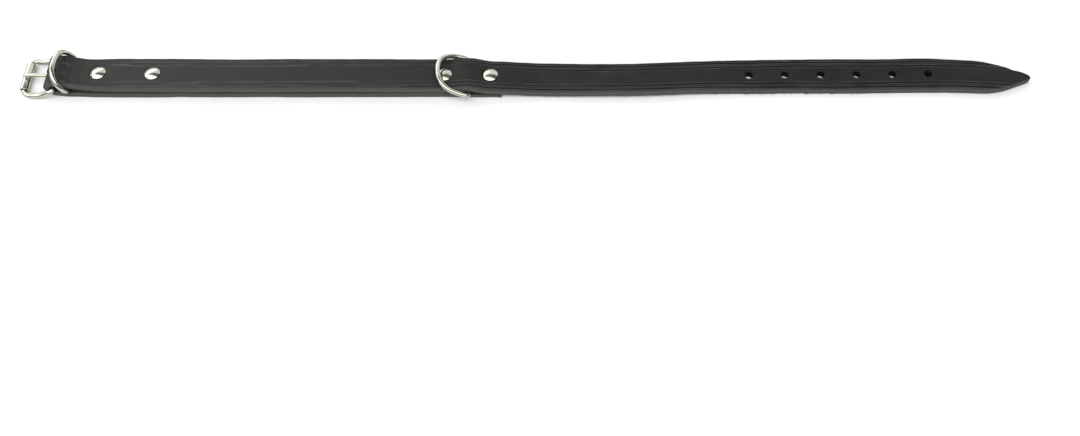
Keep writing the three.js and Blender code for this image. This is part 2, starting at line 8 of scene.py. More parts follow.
import bpy
import numpy as np
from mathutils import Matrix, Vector


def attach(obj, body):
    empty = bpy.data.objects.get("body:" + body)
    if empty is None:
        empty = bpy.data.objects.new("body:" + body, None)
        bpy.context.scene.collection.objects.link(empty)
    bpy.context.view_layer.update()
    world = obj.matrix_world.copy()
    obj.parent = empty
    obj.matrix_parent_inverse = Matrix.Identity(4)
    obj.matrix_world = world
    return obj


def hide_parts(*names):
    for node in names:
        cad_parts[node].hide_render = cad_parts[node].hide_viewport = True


bl_info = {
    "name": "Dog Collar",
    "version": (1, 0, 0),
    "blender": (4, 5, 0),
    "location": "View3D > Sidebar > Collar",
    "description": "Builds the leather, the fittings and their finishes of a dog collar round its frame",
    "category": "Object",
}

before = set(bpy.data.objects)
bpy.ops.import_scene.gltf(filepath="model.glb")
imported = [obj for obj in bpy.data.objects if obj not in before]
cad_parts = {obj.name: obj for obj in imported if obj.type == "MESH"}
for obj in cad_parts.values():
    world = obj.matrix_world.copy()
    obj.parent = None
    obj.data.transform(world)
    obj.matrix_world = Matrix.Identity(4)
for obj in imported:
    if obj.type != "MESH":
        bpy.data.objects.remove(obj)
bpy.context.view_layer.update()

MM = 0.001
BUCKLE_END = -255.0
POINT_END = 255.0
LENGTH = POINT_END - BUCKLE_END

# Places of the fittings along X
FRONT_BAR = -252.8
HEEL_BAR = -237.2
END_DEE = -229.8
MIDDLE_DEE = -29.4

# Places on the strap along X: its fold, where the underlay starts to thin, where it ends, where the top
# layer has come down to the table past it, and where the cut point starts
FOLD = -236.917
SKIVE = -44.8
UNDERLAY_END = -12.5
STEPPED_DOWN = 11.5
POINT = 227.0

# Strap: width and thickness; widths at the top of the fold, beside the end dee and at the foot of the fold,
# and how far along the underlay that narrow foot reaches; radius of the fold on its inside, and the turn in
# which its width changes; thickness at the skived end; gap between the layers
STRAP_WIDTH = 19.5
LEATHER = 3.0
FOLD_WIDTH = 18.0
WIDTH_BESIDE_END_DEE = 18.4
FOLD_FOOT_WIDTH = 18.4
FOLD_FOOT = 5.0
FOLD_RADIUS = 1.85
FOLD_WIDENED = np.pi / 5
SKIVED_END = 1.4
LAYER_GAP = 0.25

# Rounding of the strap's grain and flesh corners, and the half width under which both shrink with it
EDGE_ROUND = 0.6
FLESH_ROUND = 0.35
SHRINKING_HALF = 1.5

# Clearance round each piece that moves, and round the posts
GAP = 0.3

# Dees: wire, widths and heights, radius of the corners at the bar, fullness of the bow, and how deep a bar
# dents the leather under it and over it
DEE_WIRE = 2.5
END_DEE_WIDTH = 21.5
END_DEE_HEIGHT = 11.4
MIDDLE_DEE_WIDTH = 23.8
MIDDLE_DEE_HEIGHT = 16.3
DEE_CORNER = 2.0
DEE_FULLNESS = 2.55
BAR_DENT = 0.2
BAR_DENT_ABOVE = 0.7

# Buckle frame: wire at the bars and in the middle of the rails, spacing of the rails, share of the way from
# the front bar at which they lie on the table, radii of the corners, sideways offset, and height of the
# heel bar
FRAME_WIRE = 2.3
RAIL_WIRE = 2.7
RAIL_SPACING = 21.4
RAIL_FOOT = 0.4
HEEL_CORNER = 1.9
FRONT_CORNER = 2.8
FRAME_OFFSET = 0.4
HEEL_HEIGHT = 4.567

# Roller: diameter, length, rounding of its ends, and the seam's depth, with its place and width in radians
ROLLER = 4.4
ROLLER_LENGTH = 16.2
ROLLER_ROUND = 0.2
SEAM_DEPTH = 0.12
SEAM_TURN = 2.2
SEAM_WIDTH = 0.05

# Prong: wire; width, wall and rounding of the eye; sideways offset; how far the tip passes the front bar;
# length of the rounding at the tip, how far round it the sections go in radians, and what is left of the
# wire's section there
PRONG_WIRE = 1.9
PRONG_EYE = 2.0
PRONG_EYE_WALL = 0.9
PRONG_EYE_ROUND = 0.3
PRONG_OFFSET = -0.7
PRONG_PAST_FRONT = 0.8
PRONG_TIP = 1.2
PRONG_TIP_TURN = 1.5
PRONG_TIP_LEAST = 0.02

# Line of the prong between its eye and the roller: share of the way, and share of the height over the
# roller. In the wall of the eye it starts at the first share of that height.
PRONG_START = 0.4
PRONG_LINE = ((0.4, 0.85), (0.7, 1.1))

# Rivets: width and height of the cap, height and rounding of its rim, width of its flat underside's border,
# how deep it sits, and the angle in radians from the middle of its dome at which a tiny flat closes it;
# diameter of the post; width and height of the back cap, and how far it is above the table
CAP = 7.6
CAP_HEIGHT = 1.5
CAP_RIM = 0.4
CAP_RIM_ROUND = 0.15
CAP_UNDERSIDE = 0.2
CAP_SEAT = 0.35
DOME_FLAT = 0.02
POST = 3.2
BACK_CAP = 7.4
BACK_CAP_HEIGHT = 0.6
BACK_CAP_CLEAR = 0.1

# Room in the leather round the caps and beside the prong's eye, and width and places of the punched holes
SEAT_ROOM = 0.2
SLOT_ROOM = 0.35
HOLE = 4.7
HOLE_PLACES = (203.8, 185.6, 167.4, 149.2, 131.0, 112.8)

# The punched holes close up a little: at the grain side, and at the flesh side for each hole, there more
# across. The narrow part reaches this far above the flesh side, and the wide part starts this far under the
# grain side.
HOLE_TOP = 4.1
HOLE_FEET = (0.8, 3.0, 3.3, 3.4, 3.3, 3.4)
HOLE_FOOT_SHAPE = (1, 0.75)
HOLE_FOOT_HEIGHT = 0.3
HOLE_TOP_DEPTH = 0.5

# Prong slot, from below: height, and how far it reaches past the heel bar. The eye is narrower above the bar.
SLOT_REACH = ((-3.0, 2.8), (6.2, 2.8), (6.2, 1.8), (12.0, 1.8))

# Rivets: name, place along X, sideways shift
RIVETS = (
    ("rivet_1", -215.8, 0.4),
    ("rivet_2", -188.4, 0.2),
    ("rivet_3", -41.4, -0.1),
    ("rivet_4", -18.2, 0.7),
)

# Underside of a back cap, each with its height over the lowest ring: radii of its dimple, and distances in
# from its rim
BACK_DIMPLE = ((0.1, 0.3), (0.9, 0.25), (1.3, 0.02), (1.6, 0))
BACK_RIM = ((0.7, 0), (0.25, 0.1), (0, 0.3))

# How the strap lies: share of the length, sideways shift in strap widths, roll in degrees
LIE = np.array(
    (
        (0.035, 0.015, 1.5),
        (0.046, 0.012, 0.8),
        (0.058, 0.008, -1.5),
        (0.078, 0, -0.4),
        (0.13, -0.003, 0),
        (0.216, -0.025, -1.4),
        (0.275, -0.01, -0.4),
        (0.333, -0.015, -1.2),
        (0.412, -0.02, -0.4),
        (0.465, -0.03, -1.2),
        (0.514, -0.031, -2.3),
        (0.559, -0.051, -4),
        (0.598, -0.049, -4.4),
        (0.633, -0.015, -4),
        (0.673, 0.041, -2.5),
        (0.712, 0.074, -0.3),
        (0.773, 0.087, 1.9),
        (0.814, 0.087, 2.4),
        (0.853, 0.097, 1.6),
        (0.892, 0.113, 2.4),
        (0.912, 0.117, 0.8),
        (0.931, 0.092, -1.2),
        (0.945, 0.072, -1.4),
        (1, -0.005, -1),
    )
)

# How far the underlay stands out sideways: share of the length, shift in strap widths
UNDERLAY_LIE = np.array(
    ((0.035, -0.02), (0.13, -0.04), (0.165, -0.015), (0.24, -0.01), (0.28, -0.025), (0.36, -0.01), (0.48, 0))
)

# Height of the top layer beside the first dee: part of the way, and part of the change of height, from the
# fold up to the dee and from the dee down to the first rivet
CLIMB = (0.4, 0.25)
DESCENT = (0.5, 0.85)

# Outline of the point: share of its length, far and near side as shares of the half width
POINT_OUTLINE = np.array(
    (
        (0, 1, 1),
        (0.17, 0.955, 0.98),
        (0.34, 0.855, 0.915),
        (0.51, 0.715, 0.765),
        (0.665, 0.555, 0.575),
        (0.695, 0.49, 0.535),
        (0.84, 0.38, 0.34),
        (0.936, 0.25, 0.2),
        (0.985, 0.15, 0.12),
        (1, 0.07, 0.06),
    )
)

# Creased lines: how far in from the edge, width of the groove, the power that narrows it, and how far the
# crease attribute reaches. They start softly past the first dee, and are shallower on the half at the
# buckle.
CREASE_INSETS = (2.2, 4.6)
CREASE_WIDTH = 1.0
CREASE_POWER = 1.4
CREASE_REACH = 1.2
CREASE_START = (-226, -190)
CREASE_DEEPENS = (-140, 40)
CREASE_LEAST = 0.66

# Waves: height, turns per millimetre along and across, and phase. Those of the creases are shares of the
# depth.
EDGE_WAVES = ((0.05, 0.021, 0, 0.4), (0.035, 0.083, 0, 1.9), (0.02, 0.31, 0, 4.1))
CREASE_WAVES = ((0.2, 0.017, 0, 1.2), (0.12, 0.049, 0, 0.2))
GRAIN_WAVES = (
    (0.035, 0.013, 0.05, 0.3),
    (0.025, 0.031, -0.07, 2.2),
    (0.015, 0.09, 0.11, 5.0),
    (0.01, -0.17, 0.16, 1.1),
)

# Shallow dishes in the grain side: depth, and for each its place along X, sideways shift, radius and slope
# past it
DISH_DEPTH = 0.3
DISHES = (
    *((x, shift, CAP / 2, 2) for _, x, shift in RIVETS),
    *((x, 0, HOLE / 2, 0.9) for x in HOLE_PLACES),
)

# The near upper corner is painted pale by this much, from this share of the half width outwards: partly wear
# from rubbing, partly painted sheen where it turns to the light
NEAR_WEAR_AND_SHEEN = 0.5
NEAR_WEAR_AND_SHEEN_FROM = 0.9

# Stations of the strap's outline: shares of the half width on the flesh side, shares of the thickness on
# the cut edge, points in each corner and across each crease, and distances from the edge on the grain side
FLESH_STATIONS = (0, 0.25, 0.5, 0.75, 0.93)
EDGE_STATIONS = (0.35, 0.45, 0.55)
LOW_CORNER_POINTS = 5
HIGH_CORNER_POINTS = 7
CREASE_POINTS = 9
GRAIN_STATIONS = (1, 1.35, 3.05, 3.4, 3.75, 5.5, 5.9, 6.4, 6.9, 7.5, 8.1, 8.7, 9.3, STRAP_WIDTH / 2)

# Rows of the strap: where a stretch ends along X, and how far apart its rows are; and the number round the
# fold
UNDERLAY_ROWS = ((RIVETS[0][1], 2), (FOLD, 1))
TOP_ROWS = ((RIVETS[0][1], 0.5), (SKIVE, 1), (STEPPED_DOWN, 0.6), (POINT, 1), (POINT_END, 0.5))
FOLD_ROWS = 24

# Hairs of the near cut edge: stretches along X with their number, width, bounds of the length, spread of
# the drift along X, bounds of the height on the edge, greatest sag, depth of the root, share of the width
# at the tip, points along a hair and round it, and the seed of the random draws
FIBRES = (
    (-24, -12, 7),
    (2, 30, 12),
    (34, 58, 12),
    (92, 104, 12),
    (108, 134, 26),
    (138, 156, 16),
    (160, 172, 5),
)
FIBRE_WIDTH = 0.28
FIBRE_LENGTH = (0.5, 1.1)
FIBRE_DRIFT = 0.5
FIBRE_HEIGHT = (0.25, 0.9)
FIBRE_SAG = 0.2
FIBRE_ROOT = 0.2
FIBRE_TIP = 0.2
FIBRE_POINTS = 5
FIBRE_SEED = 7

# How finely the fittings are divided: sides round a form, steps along a wire, and points along a line or an
# arc
CUTTER_SIDES = 48
WIRE_SIDES = 32
DEE_STEP = 0.5
FRAME_STEP = 0.45
ROLLER_SIDES = 96
EYE_SIDES = 64
PRONG_SIDES = 28
PRONG_STEP = 0.3
RIVET_SIDES = 64
ARC_POINTS = 17
DEE_BAR_POINTS = 40
DEE_CORNER_POINTS = 12
DEE_BOW_POINTS = 160
ROUNDING_POINTS = 6
PRONG_TIP_POINTS = 10
CAP_RIM_POINTS = 5
DOME_POINTS = 24

# Angles between faces, in degrees, past which an edge stays sharp
SHARP = 40
SHARP_METAL = 50


def read_table(rows, column, places):
    """Value of a column at many places, on a smooth curve through the rows.

    Each stretch is a cubic between its two rows. Its slope at a row is the harmonic mean of the slopes on
    both sides, or level where those differ in sign, so that the curve never overshoots the rows.
    """
    at, value = rows[:, 0], rows[:, column]
    slope = np.diff(value) / np.diff(at)
    before, after = np.r_[slope[0], slope], np.r_[slope, slope[-1]]
    product = before * after
    total = np.where(product > 0, before + after, 1.0)
    tangent = np.where(product > 0, 2 * product / total, 0.0)
    row = np.clip(np.searchsorted(at, places, side="left") - 1, 0, len(at) - 2)
    span = at[row + 1] - at[row]
    u = np.clip((places - at[row]) / span, 0, 1)
    smooth = u * u * (3 - 2 * u)
    lead = u * (1 - u) ** 2 * tangent[row] * span
    trail = u * u * (1 - u) * tangent[row + 1] * span
    return value[row] + (value[row + 1] - value[row]) * smooth + lead - trail


def spread(start, end, step):
    """Places from one end to the other, both included, about one step apart."""
    return np.linspace(start, end, max(1, round(abs(end - start) / step)) + 1)


def stretches(start, rows):
    """Places from a start through stretches in turn; a row is a stretch's end and the step in it."""
    places = [np.array([start])]
    for end, step in rows:
        places.append(spread(places[-1][-1], end, step)[1:])
    return np.concatenate(places)


def smoothstep(low, high, x):
    """0 below low, 1 above high, and a smooth rise between them."""
    u = np.clip((x - low) / (high - low), 0, 1)
    return u * u * (3 - 2 * u)


def part_way(start, end, share):
    """A value that lies a share of the way from start to end."""
    return start + share * (end - start)


def unit(vectors):
    """Vectors divided by their lengths."""
    return vectors / np.linalg.norm(vectors, axis=-1, keepdims=True)


def around(sides):
    """Angles of a full turn in even steps."""
    return np.linspace(0, 2 * np.pi, sides, endpoint=False)


def quarter(start, points):
    """Angles of a quarter turn, both ends included, that starts after a number of quarter turns."""
    return np.linspace(start, start + 1, points) * np.pi / 2


def share_along(x):
    """Share of the collar's length at a place along X: the way from the buckle's end over the length."""
    return (x - BUCKLE_END) / LENGTH


def sideways(x):
    """Y of the middle of the strap: its width times the shift in the table of how it lies."""
    return STRAP_WIDTH * read_table(LIE, 1, share_along(x))


def underlay_sideways(x):
    """Y of the middle of the underlay: that of the strap, and its own shift."""
    return sideways(x) + STRAP_WIDTH * read_table(UNDERLAY_LIE, 1, share_along(x))


def roll_at(x):
    """Angle in radians by which the strap is rolled about its length, from the table of how it lies."""
    return np.radians(read_table(LIE, 2, share_along(x)))


def lift(x):
    """A rolled strap stands on its lower edge, so its middle is half a width times the roll's sine higher."""
    return STRAP_WIDTH / 2 * np.abs(np.sin(roll_at(x)))


def underlay_thickness(x):
    """Full leather up to the skive, then an even slope down to the thinned end."""
    return LEATHER + (SKIVED_END - LEATHER) * np.clip((x - SKIVE) / (UNDERLAY_END - SKIVE), 0, 1)


def bar_height(x):
    """Height of a dee's bar: the underlay's thickness less the dent, then the clearance and half the wire."""
    return underlay_thickness(x) - BAR_DENT + GAP + DEE_WIRE / 2


def top_layer():
    """Rows of place along X and height of the lower edge of the top layer: over the fold, the dees' bars
    and the underlay, then down to the table.

    Over a bar that is the clearance above its wire less the dent, and over the underlay it is the gap
    between the layers above its thickness.
    """
    fold_top = LEATHER + 2 * FOLD_RADIUS
    lifted = {x: bar_height(x) + DEE_WIRE / 2 + GAP - BAR_DENT_ABOVE for x in (END_DEE, MIDDLE_DEE)}
    rivet = [place for _, place, _ in RIVETS]
    rest = {x: underlay_thickness(x) + LAYER_GAP for x in (*rivet, SKIVE, UNDERLAY_END)}
    climb = (part_way(FOLD, END_DEE, CLIMB[0]), part_way(fold_top, lifted[END_DEE], CLIMB[1]))
    descent = (part_way(END_DEE, rivet[0], DESCENT[0]), part_way(lifted[END_DEE], rest[rivet[0]], DESCENT[1]))
    return np.array(
        (
            (FOLD, fold_top - lift(FOLD)),
            climb,
            (END_DEE, lifted[END_DEE]),
            descent,
            (rivet[0], rest[rivet[0]]),
            (rivet[1], rest[rivet[1]]),
            (SKIVE, rest[SKIVE]),
            (rivet[2], rest[rivet[2]]),
            (MIDDLE_DEE, lifted[MIDDLE_DEE]),
            (rivet[3], rest[rivet[3]]),
            (UNDERLAY_END, rest[UNDERLAY_END]),
            (STEPPED_DOWN, 0),
            (POINT_END, 0),
        )
    )


TOP_LAYER = top_layer()


def under_at(x):
    """Height of the flesh side of the top layer in the middle: that of its lower edge and the lift."""
    return read_table(TOP_LAYER, 1, x) + lift(x)


def top_at(x):
    """Height of the grain side of the top layer: a leather's thickness above its flesh side."""
    return under_at(x) + LEATHER


def quads(rows, columns, closed=False):
    """Faces of a grid of points that run row by row; a row is a ring, and the rows close up where closed."""
    row = np.arange(rows if closed else rows - 1)[:, None]
    column = np.arange(columns)[None, :]
    beside = (column + 1) % columns
    ahead = (row + 1) % rows * columns
    corners = (row * columns + column, row * columns + beside, ahead + beside, ahead + column)
    return np.stack(corners, -1).reshape(-1, 4)


def tube(rings, closed=False):
    """Shell through rings of equally many points. The last ring joins the first where it is closed; else
    the first and the last ring get flat caps."""
    rows, columns = rings.shape[:2]
    ring = np.arange(columns)
    caps = () if closed else (ring[::-1], (rows - 1) * columns + ring)
    return rings.reshape(-1, 3), quads(rows, columns, closed), caps


def make_mesh(name, *shells):
    """Mesh of one or more shells, in metres."""
    points, loops, counts, before = [], [], [], 0
    for shell_points, faces, caps in shells:
        points.append(shell_points)
        loops += [faces.ravel() + before, *[cap + before for cap in caps]]
        counts += [np.full(len(faces), 4), np.array([len(cap) for cap in caps], int)]
        before += len(shell_points)
    points, loops, counts = np.concatenate(points) * MM, np.concatenate(loops), np.concatenate(counts)
    mesh = bpy.data.meshes.new(name)
    mesh.vertices.add(len(points))
    mesh.vertices.foreach_set("co", points.astype(np.float32).ravel())
    mesh.loops.add(len(loops))
    mesh.loops.foreach_set("vertex_index", loops.astype(np.int32))
    mesh.polygons.add(len(counts))
    mesh.polygons.foreach_set("loop_start", (np.cumsum(counts) - counts).astype(np.int32))
    mesh.update(calc_edges=True)
    return mesh


def add_object(name, mesh):
    """Object of a mesh, in the scene."""
    piece = bpy.data.objects.new(name, mesh)
    bpy.context.scene.collection.objects.link(piece)
    return piece


def finish_piece(piece, material, sharp=SHARP):
    """Smooth except where faces meet at more than the sharp angle, in one material."""
    mesh = piece.data
    mesh.materials.clear()
    mesh.materials.append(material)
    mesh.polygons.foreach_set("material_index", np.zeros(len(mesh.polygons), np.int32))
    mesh.shade_smooth()
    mesh.set_sharp_from_angle(angle=np.radians(sharp))


def combine(piece, tool, operation):
    """The piece with the tool's solid cut away or joined on, as its own mesh; the tool goes."""
    modifier = piece.modifiers.new("tool", "BOOLEAN")
    modifier.operation = operation
    modifier.solver = "EXACT"
    modifier.object = tool
    graph = bpy.context.evaluated_depsgraph_get()
    mesh = bpy.data.meshes.new_from_object(piece.evaluated_get(graph))
    piece.modifiers.clear()
    piece.data = mesh
    bpy.data.objects.remove(tool)


def rings_along(path, radius, side, top, sides):
    """Rings of a round wire: at each point of the path, its radius times the turn's cosine to the side and
    sine to the top."""
    turn = around(sides)[None, :, None]
    radius = np.broadcast_to(radius, len(path))[:, None, None]
    return path[:, None] + radius * (np.cos(turn) * side[:, None] + np.sin(turn) * top[:, None])


def wire_loop(path, radius):
    """Round wire along a closed path: a circle of points is carried along it, square to the path at each
    point."""
    along = unit(np.roll(path, -1, 0) - np.roll(path, 1, 0))
    side = unit(np.cross((0, 0, 1), along))
    return tube(rings_along(path, radius, side, np.cross(along, side), WIRE_SIDES), closed=True)


def lathe(profile, sides, closed=False):
    """Profile of radius and height turned round the Z axis, upwards on its outside. A closed profile makes
    a ring; an open one gets a flat cap at its foot and at its top."""
    turn = around(sides)
    radius, height = profile[:, 0, None], profile[:, 1, None]
    return tube(np.stack((radius * np.cos(turn), radius * np.sin(turn), height + 0 * turn), -1), closed)


def moved(shell, offset):
    """The shell with the offset added to its points."""
    points, faces, caps = shell
    return points + offset, faces, caps


def resample(path, step):
    """A closed path with its points an even step apart, read off at distances along its straight parts."""
    loop = np.vstack((path, path[:1]))
    reach = np.r_[0, np.cumsum(np.linalg.norm(np.diff(loop, axis=0), axis=1))]
    places = np.linspace(0, reach[-1], round(reach[-1] / step), endpoint=False)
    return np.stack([np.interp(places, reach, loop[:, axis]) for axis in range(3)], -1)


def section_stations():
    """Stations of the strap's outline on one side, from the middle of the flesh side to the middle of the
    grain side.

    A station has its share of the half width that is left after its inset from the edge, the inset in
    millimetres, its share of the thickness, and millimetres added to that. Both corners are quarter
    circles, and on the grain side the stations stand closer at the creased lines.
    """
    half = STRAP_WIDTH / 2
    flesh = [(share, FLESH_ROUND, 0, 0) for share in FLESH_STATIONS]
    low = [
        (1, FLESH_ROUND * (1 - np.sin(turn)), 0, FLESH_ROUND * (1 - np.cos(turn)))
        for turn in quarter(0, LOW_CORNER_POINTS)
    ]
    edge = [(1, 0, share, 0) for share in EDGE_STATIONS]
    high = [
        (1, EDGE_ROUND * (1 - np.cos(turn)), 1, -EDGE_ROUND * (1 - np.sin(turn)))
        for turn in quarter(0, HIGH_CORNER_POINTS)
    ]
    steps = np.linspace(-0.5, 0.5, CREASE_POINTS) * CREASE_WIDTH
    insets = sorted([*GRAIN_STATIONS, *(inset + step for inset in CREASE_INSETS for step in steps)])
    grain = [((half - inset) / (half - EDGE_ROUND), EDGE_ROUND, 1, 0) for inset in insets]
    return np.array(flesh + low + edge + high + grain)


def groove(distance):
    """A rounded V: 1 at the bottom, 0 from half the crease's width outwards. It is a power of one less the
    square of the distance's share of that half."""
    return np.clip(1 - (2 * distance / CREASE_WIDTH) ** 2, 0, 1) ** CREASE_POWER


def crease_line(distance):
    """1 on a creased line, down to 0 at its reach."""
    return np.clip(1 - np.abs(distance) / CREASE_REACH, 0, 1)


def ripple(along, across, waves):
    """Sum of sine waves; a wave is its height, turns per millimetre along and across, and phase."""
    return sum(size * np.sin(2 * np.pi * (u * along + v * across) + phase) for size, u, v, phase in waves)


def strap_rows():
    """Sections of the strap in order: underlay, fold, top layer; and how many come before the top layer.

    A row has the point on the flesh side in the middle of the strap, the direction along it, thickness,
    roll, half widths on the far and near side, and the half width that the strap would have without its
    point. The underlay runs at X towards the buckle with its flesh side up; the fold is a half circle,
    which takes on its own width and place in the first part of its turn; the top layer runs back at the
    height of its table.
    """
    x = stretches(UNDERLAY_END, UNDERLAY_ROWS)
    y, thick = underlay_sideways(x), underlay_thickness(x)
    along = unit(np.stack((-np.ones_like(x), underlay_sideways(x) - underlay_sideways(x + 1), 0 * x), -1))
    half = part_way(FOLD_FOOT_WIDTH, STRAP_WIDTH, np.clip((x - FOLD) / FOLD_FOOT, 0, 1)) / 2
    underlay = (np.stack((x, y, thick), -1), along, thick, 0 * x, half, half, half)

    turn = np.linspace(0, np.pi, FOLD_ROWS + 2)[1:-1]
    share = np.minimum(1, turn / FOLD_WIDENED)
    y = part_way(underlay_sideways(FOLD), sideways(FOLD), share)
    point = (FOLD - FOLD_RADIUS * np.sin(turn), y, LEATHER + FOLD_RADIUS * (1 - np.cos(turn)))
    along = np.stack((-np.cos(turn), 0 * turn, np.sin(turn)), -1)
    half = part_way(FOLD_FOOT_WIDTH, FOLD_WIDTH, share) / 2
    roll = roll_at(FOLD) * turn / np.pi
    fold = (np.stack(point, -1), along, np.full_like(turn, LEATHER), roll, half, half, half)

    x = stretches(FOLD, TOP_ROWS)
    rise = np.where(x > FOLD, under_at(x + 0.5) - under_at(x - 0.5), 0)
    along = unit(np.stack((np.ones_like(x), sideways(x + 0.5) - sideways(x - 0.5), rise), -1))
    pared = (
        (FOLD, FOLD_WIDTH),
        (END_DEE + DEE_WIRE, FOLD_WIDTH),
        (END_DEE + END_DEE_HEIGHT, WIDTH_BESIDE_END_DEE),
        (RIVETS[0][1] + CAP, STRAP_WIDTH),
    )
    full = read_table(np.array(pared), 1, x) / 2
    taper = (x - POINT) / (POINT_END - POINT)
    far, near = (np.where(x > POINT, read_table(POINT_OUTLINE, side, taper), 1) * full for side in (1, 2))
    point = np.stack((x, sideways(x), under_at(x)), -1)
    top = (point, along, np.full_like(x, LEATHER), roll_at(x), far, near, full)
    return [np.concatenate(parts) for parts in zip(underlay, fold, top)], len(underlay[0]) + len(fold[0])


def strap_skin(crease_depth, wave_height):
    """Shell of the strap, and what strap_lie needs: distance along it, stations with their side of the
    strap, reach across it, and how near each point is to a creased line.

    The outline is carried along the rows: across is level and square to the strap, then rolled about it.
    The edges wander by low waves that fade inwards with the fourth power of the share of the half width.
    Grain stations sink by the crease's depth at its inset from the straight edge, by a shallow dish round
    each rivet and hole, and by low waves, which the table presses flat where the leather lies on it.
    """
    (point, along, thick, roll, far, near, full), top_start = strap_rows()
    level = unit(np.array((0, 1, 0)) - along * along[:, 1:2])
    outward = np.cross(along, level)
    turn = roll[:, None]
    across = level * np.cos(turn) + outward * np.sin(turn)
    grain = outward * np.cos(turn) - level * np.sin(turn)

    side = section_stations()
    stations = np.vstack((side, side[-2:0:-1]))
    sign = np.r_[np.ones(len(side)), -np.ones(len(side) - 2)]
    share, inset, level_share, added = stations.T
    arc = np.r_[0, np.cumsum(np.linalg.norm(np.diff(point, axis=0), axis=1))]
    wave = ripple(arc[:, None], 0, EDGE_WAVES) * wave_height
    half = np.where(sign > 0, far[:, None], near[:, None])
    small = np.minimum(1, half / SHRINKING_HALF)
    reach = sign * (share * (half - inset * small) + wave * small * np.abs(share) ** 4)
    height = level_share * thick[:, None] + added * small

    from_edge = full[:, None] - np.abs(reach)
    depth = np.max([groove(from_edge - place) for place in CREASE_INSETS], axis=0)
    line = np.max([crease_line(from_edge - place) for place in CREASE_INSETS], axis=0)
    flat = (level_share == 1) & (added == 0)
    # The lines run out round the fold, start softly again past the dee at the buckle, and are worn on that
    # half
    fold_share = 1 - smoothstep(LEATHER, LEATHER + 2 * FOLD_RADIUS, point[:, 2])
    deepened = part_way(CREASE_LEAST, 1, smoothstep(*CREASE_DEEPENS, point[:, 0]))
    top_share = smoothstep(*CREASE_START, point[:, 0]) * deepened
    faint = np.where(np.arange(len(arc)) < top_start, fold_share, top_share)[:, None]
    line = np.where(flat, line, 0) * faint
    depth = np.where(flat, depth, 0) * (1 + ripple(arc[:, None], 0, CREASE_WAVES)) * faint

    points = point[:, None] + reach[..., None] * across[:, None] + height[..., None] * grain[:, None]
    dish = np.zeros_like(reach)
    for x, shift, radius, slope in DISHES:
        away = np.hypot(points[..., 0] - x, points[..., 1] - sideways(x) - shift)
        dish += DISH_DEPTH * (1 - smoothstep(radius, radius + slope, away))
    dish[:top_start] = 0
    waves = wave_height * ripple(arc[:, None], reach, GRAIN_WAVES)
    sink = crease_depth * depth + np.where(flat, dish - waves, 0)
    points -= sink[..., None] * grain[:, None]
    points[..., 2] = np.maximum(points[..., 2], 0)
    return tube(points), arc, stations, sign, reach, line


def strap_lie(arc, stations, sign, reach, line):
    """For each point of the skin: distance along the strap, distance round its outline from the middle of
    the grain side, how much of a cut edge it is, how much flesh side, and how near to a creased line. The
    grain corner is more of a cut edge the lower it is, and fully so from half its rounding down. On the near
    side the grain's edge takes on part of a cut edge's value and so is painted paler, partly as wear and
    partly as painted sheen."""
    share, _, level_share, added = stations.T
    cut = np.where(level_share == 1, np.clip(-added / EDGE_ROUND * 2, 0, 1), (level_share > 0) | (added > 0))
    # Near side: the grain is painted paler towards its edge with part of the cut edge's colour, partly wear
    # from rubbing and partly painted sheen
    rubbed_and_sheen = (level_share == 1) & (sign < 0)
    cut = np.where(rubbed_and_sheen, np.maximum(cut, NEAR_WEAR_AND_SHEEN * smoothstep(NEAR_WEAR_AND_SHEEN_FROM, 1, share)), cut)
    flesh = (level_share == 0) & (added == 0)
    round_edge = np.where(level_share == 1, -added, LEATHER * (1 - level_share) - added)
    round_flesh = np.where(flesh, STRAP_WIDTH / 2 - np.abs(reach), 0)
    distance = reach + sign * (round_edge + round_flesh)
    values = (arc[:, None], distance, cut, flesh, line)
    return [np.broadcast_to(value, distance.shape).astype(np.float32).ravel() for value in values]


def fibre_shells():
    """Short curved hairs out of the near cut edge: a circle that shrinks to the tip is carried along a
    parabola.

    The edge of a rolled strap leans and is higher. Over the underlay, the hairs are the underlay's, which
    lies flat.
    """
    chance = np.random.default_rng(FIBRE_SEED)
    start = np.concatenate([chance.uniform(low, high, count) for low, high, count in FIBRES])
    count = len(start)
    length, drift = chance.uniform(*FIBRE_LENGTH, count), chance.normal(0, FIBRE_DRIFT, count)
    height, sag = chance.uniform(*FIBRE_HEIGHT, count), chance.uniform(0, FIBRE_SAG, count)
    top_only = start > UNDERLAY_END
    roll = np.where(top_only, roll_at(start), 0)
    inside = STRAP_WIDTH / 2 - FIBRE_ROOT
    foot = sideways(start) - inside * np.cos(roll) - height * np.sin(roll)
    rise = np.where(top_only, under_at(start), 0) - inside * np.sin(roll) + height * np.cos(roll)
    step = np.linspace(0, 1, FIBRE_POINTS)[:, None]
    radius = FIBRE_WIDTH / 2 * part_way(1, FIBRE_TIP, step)
    turn = around(FIBRE_POINTS)
    shells = []
    for x, reach, aside, y, z, fall in zip(start, length, drift, foot, rise, sag):
        path = (x + aside * step**2, y - reach * step, z - fall * step**2)
        rings = (path[0] + radius * np.cos(turn), path[1] + 0 * turn, path[2] + radius * np.sin(turn))
        shells.append(tube(np.stack(rings, -1)))
    return shells


LIE_NAMES = ("along", "across", "cut_edge", "flesh_side", "crease")


def store_points(mesh, columns):
    """The values that the leather's finish reads. Each column holds a value for each point; the corners of
    the faces take them over, so that a Boolean keeps both solids' own."""
    corner = np.zeros(len(mesh.loops), np.int32)
    mesh.loops.foreach_get("vertex_index", corner)
    for name, values in zip(LIE_NAMES, columns):
        layer = mesh.attributes.new(name, "FLOAT", "CORNER")
        layer.data.foreach_set("value", values[corner].astype(np.float32))


def stacked(*levels):
    """Solid through outlines in X and Y with equally many points, each at its height, from below."""
    return tube(np.stack([np.c_[outline, np.full(len(outline), height)] for outline, height in levels]))


def circle(radius):
    """Outline of a circle: radius times the turn's cosine and sine."""
    turn = around(CUTTER_SIDES)
    return np.stack((radius * np.cos(turn), radius * np.sin(turn)), -1)


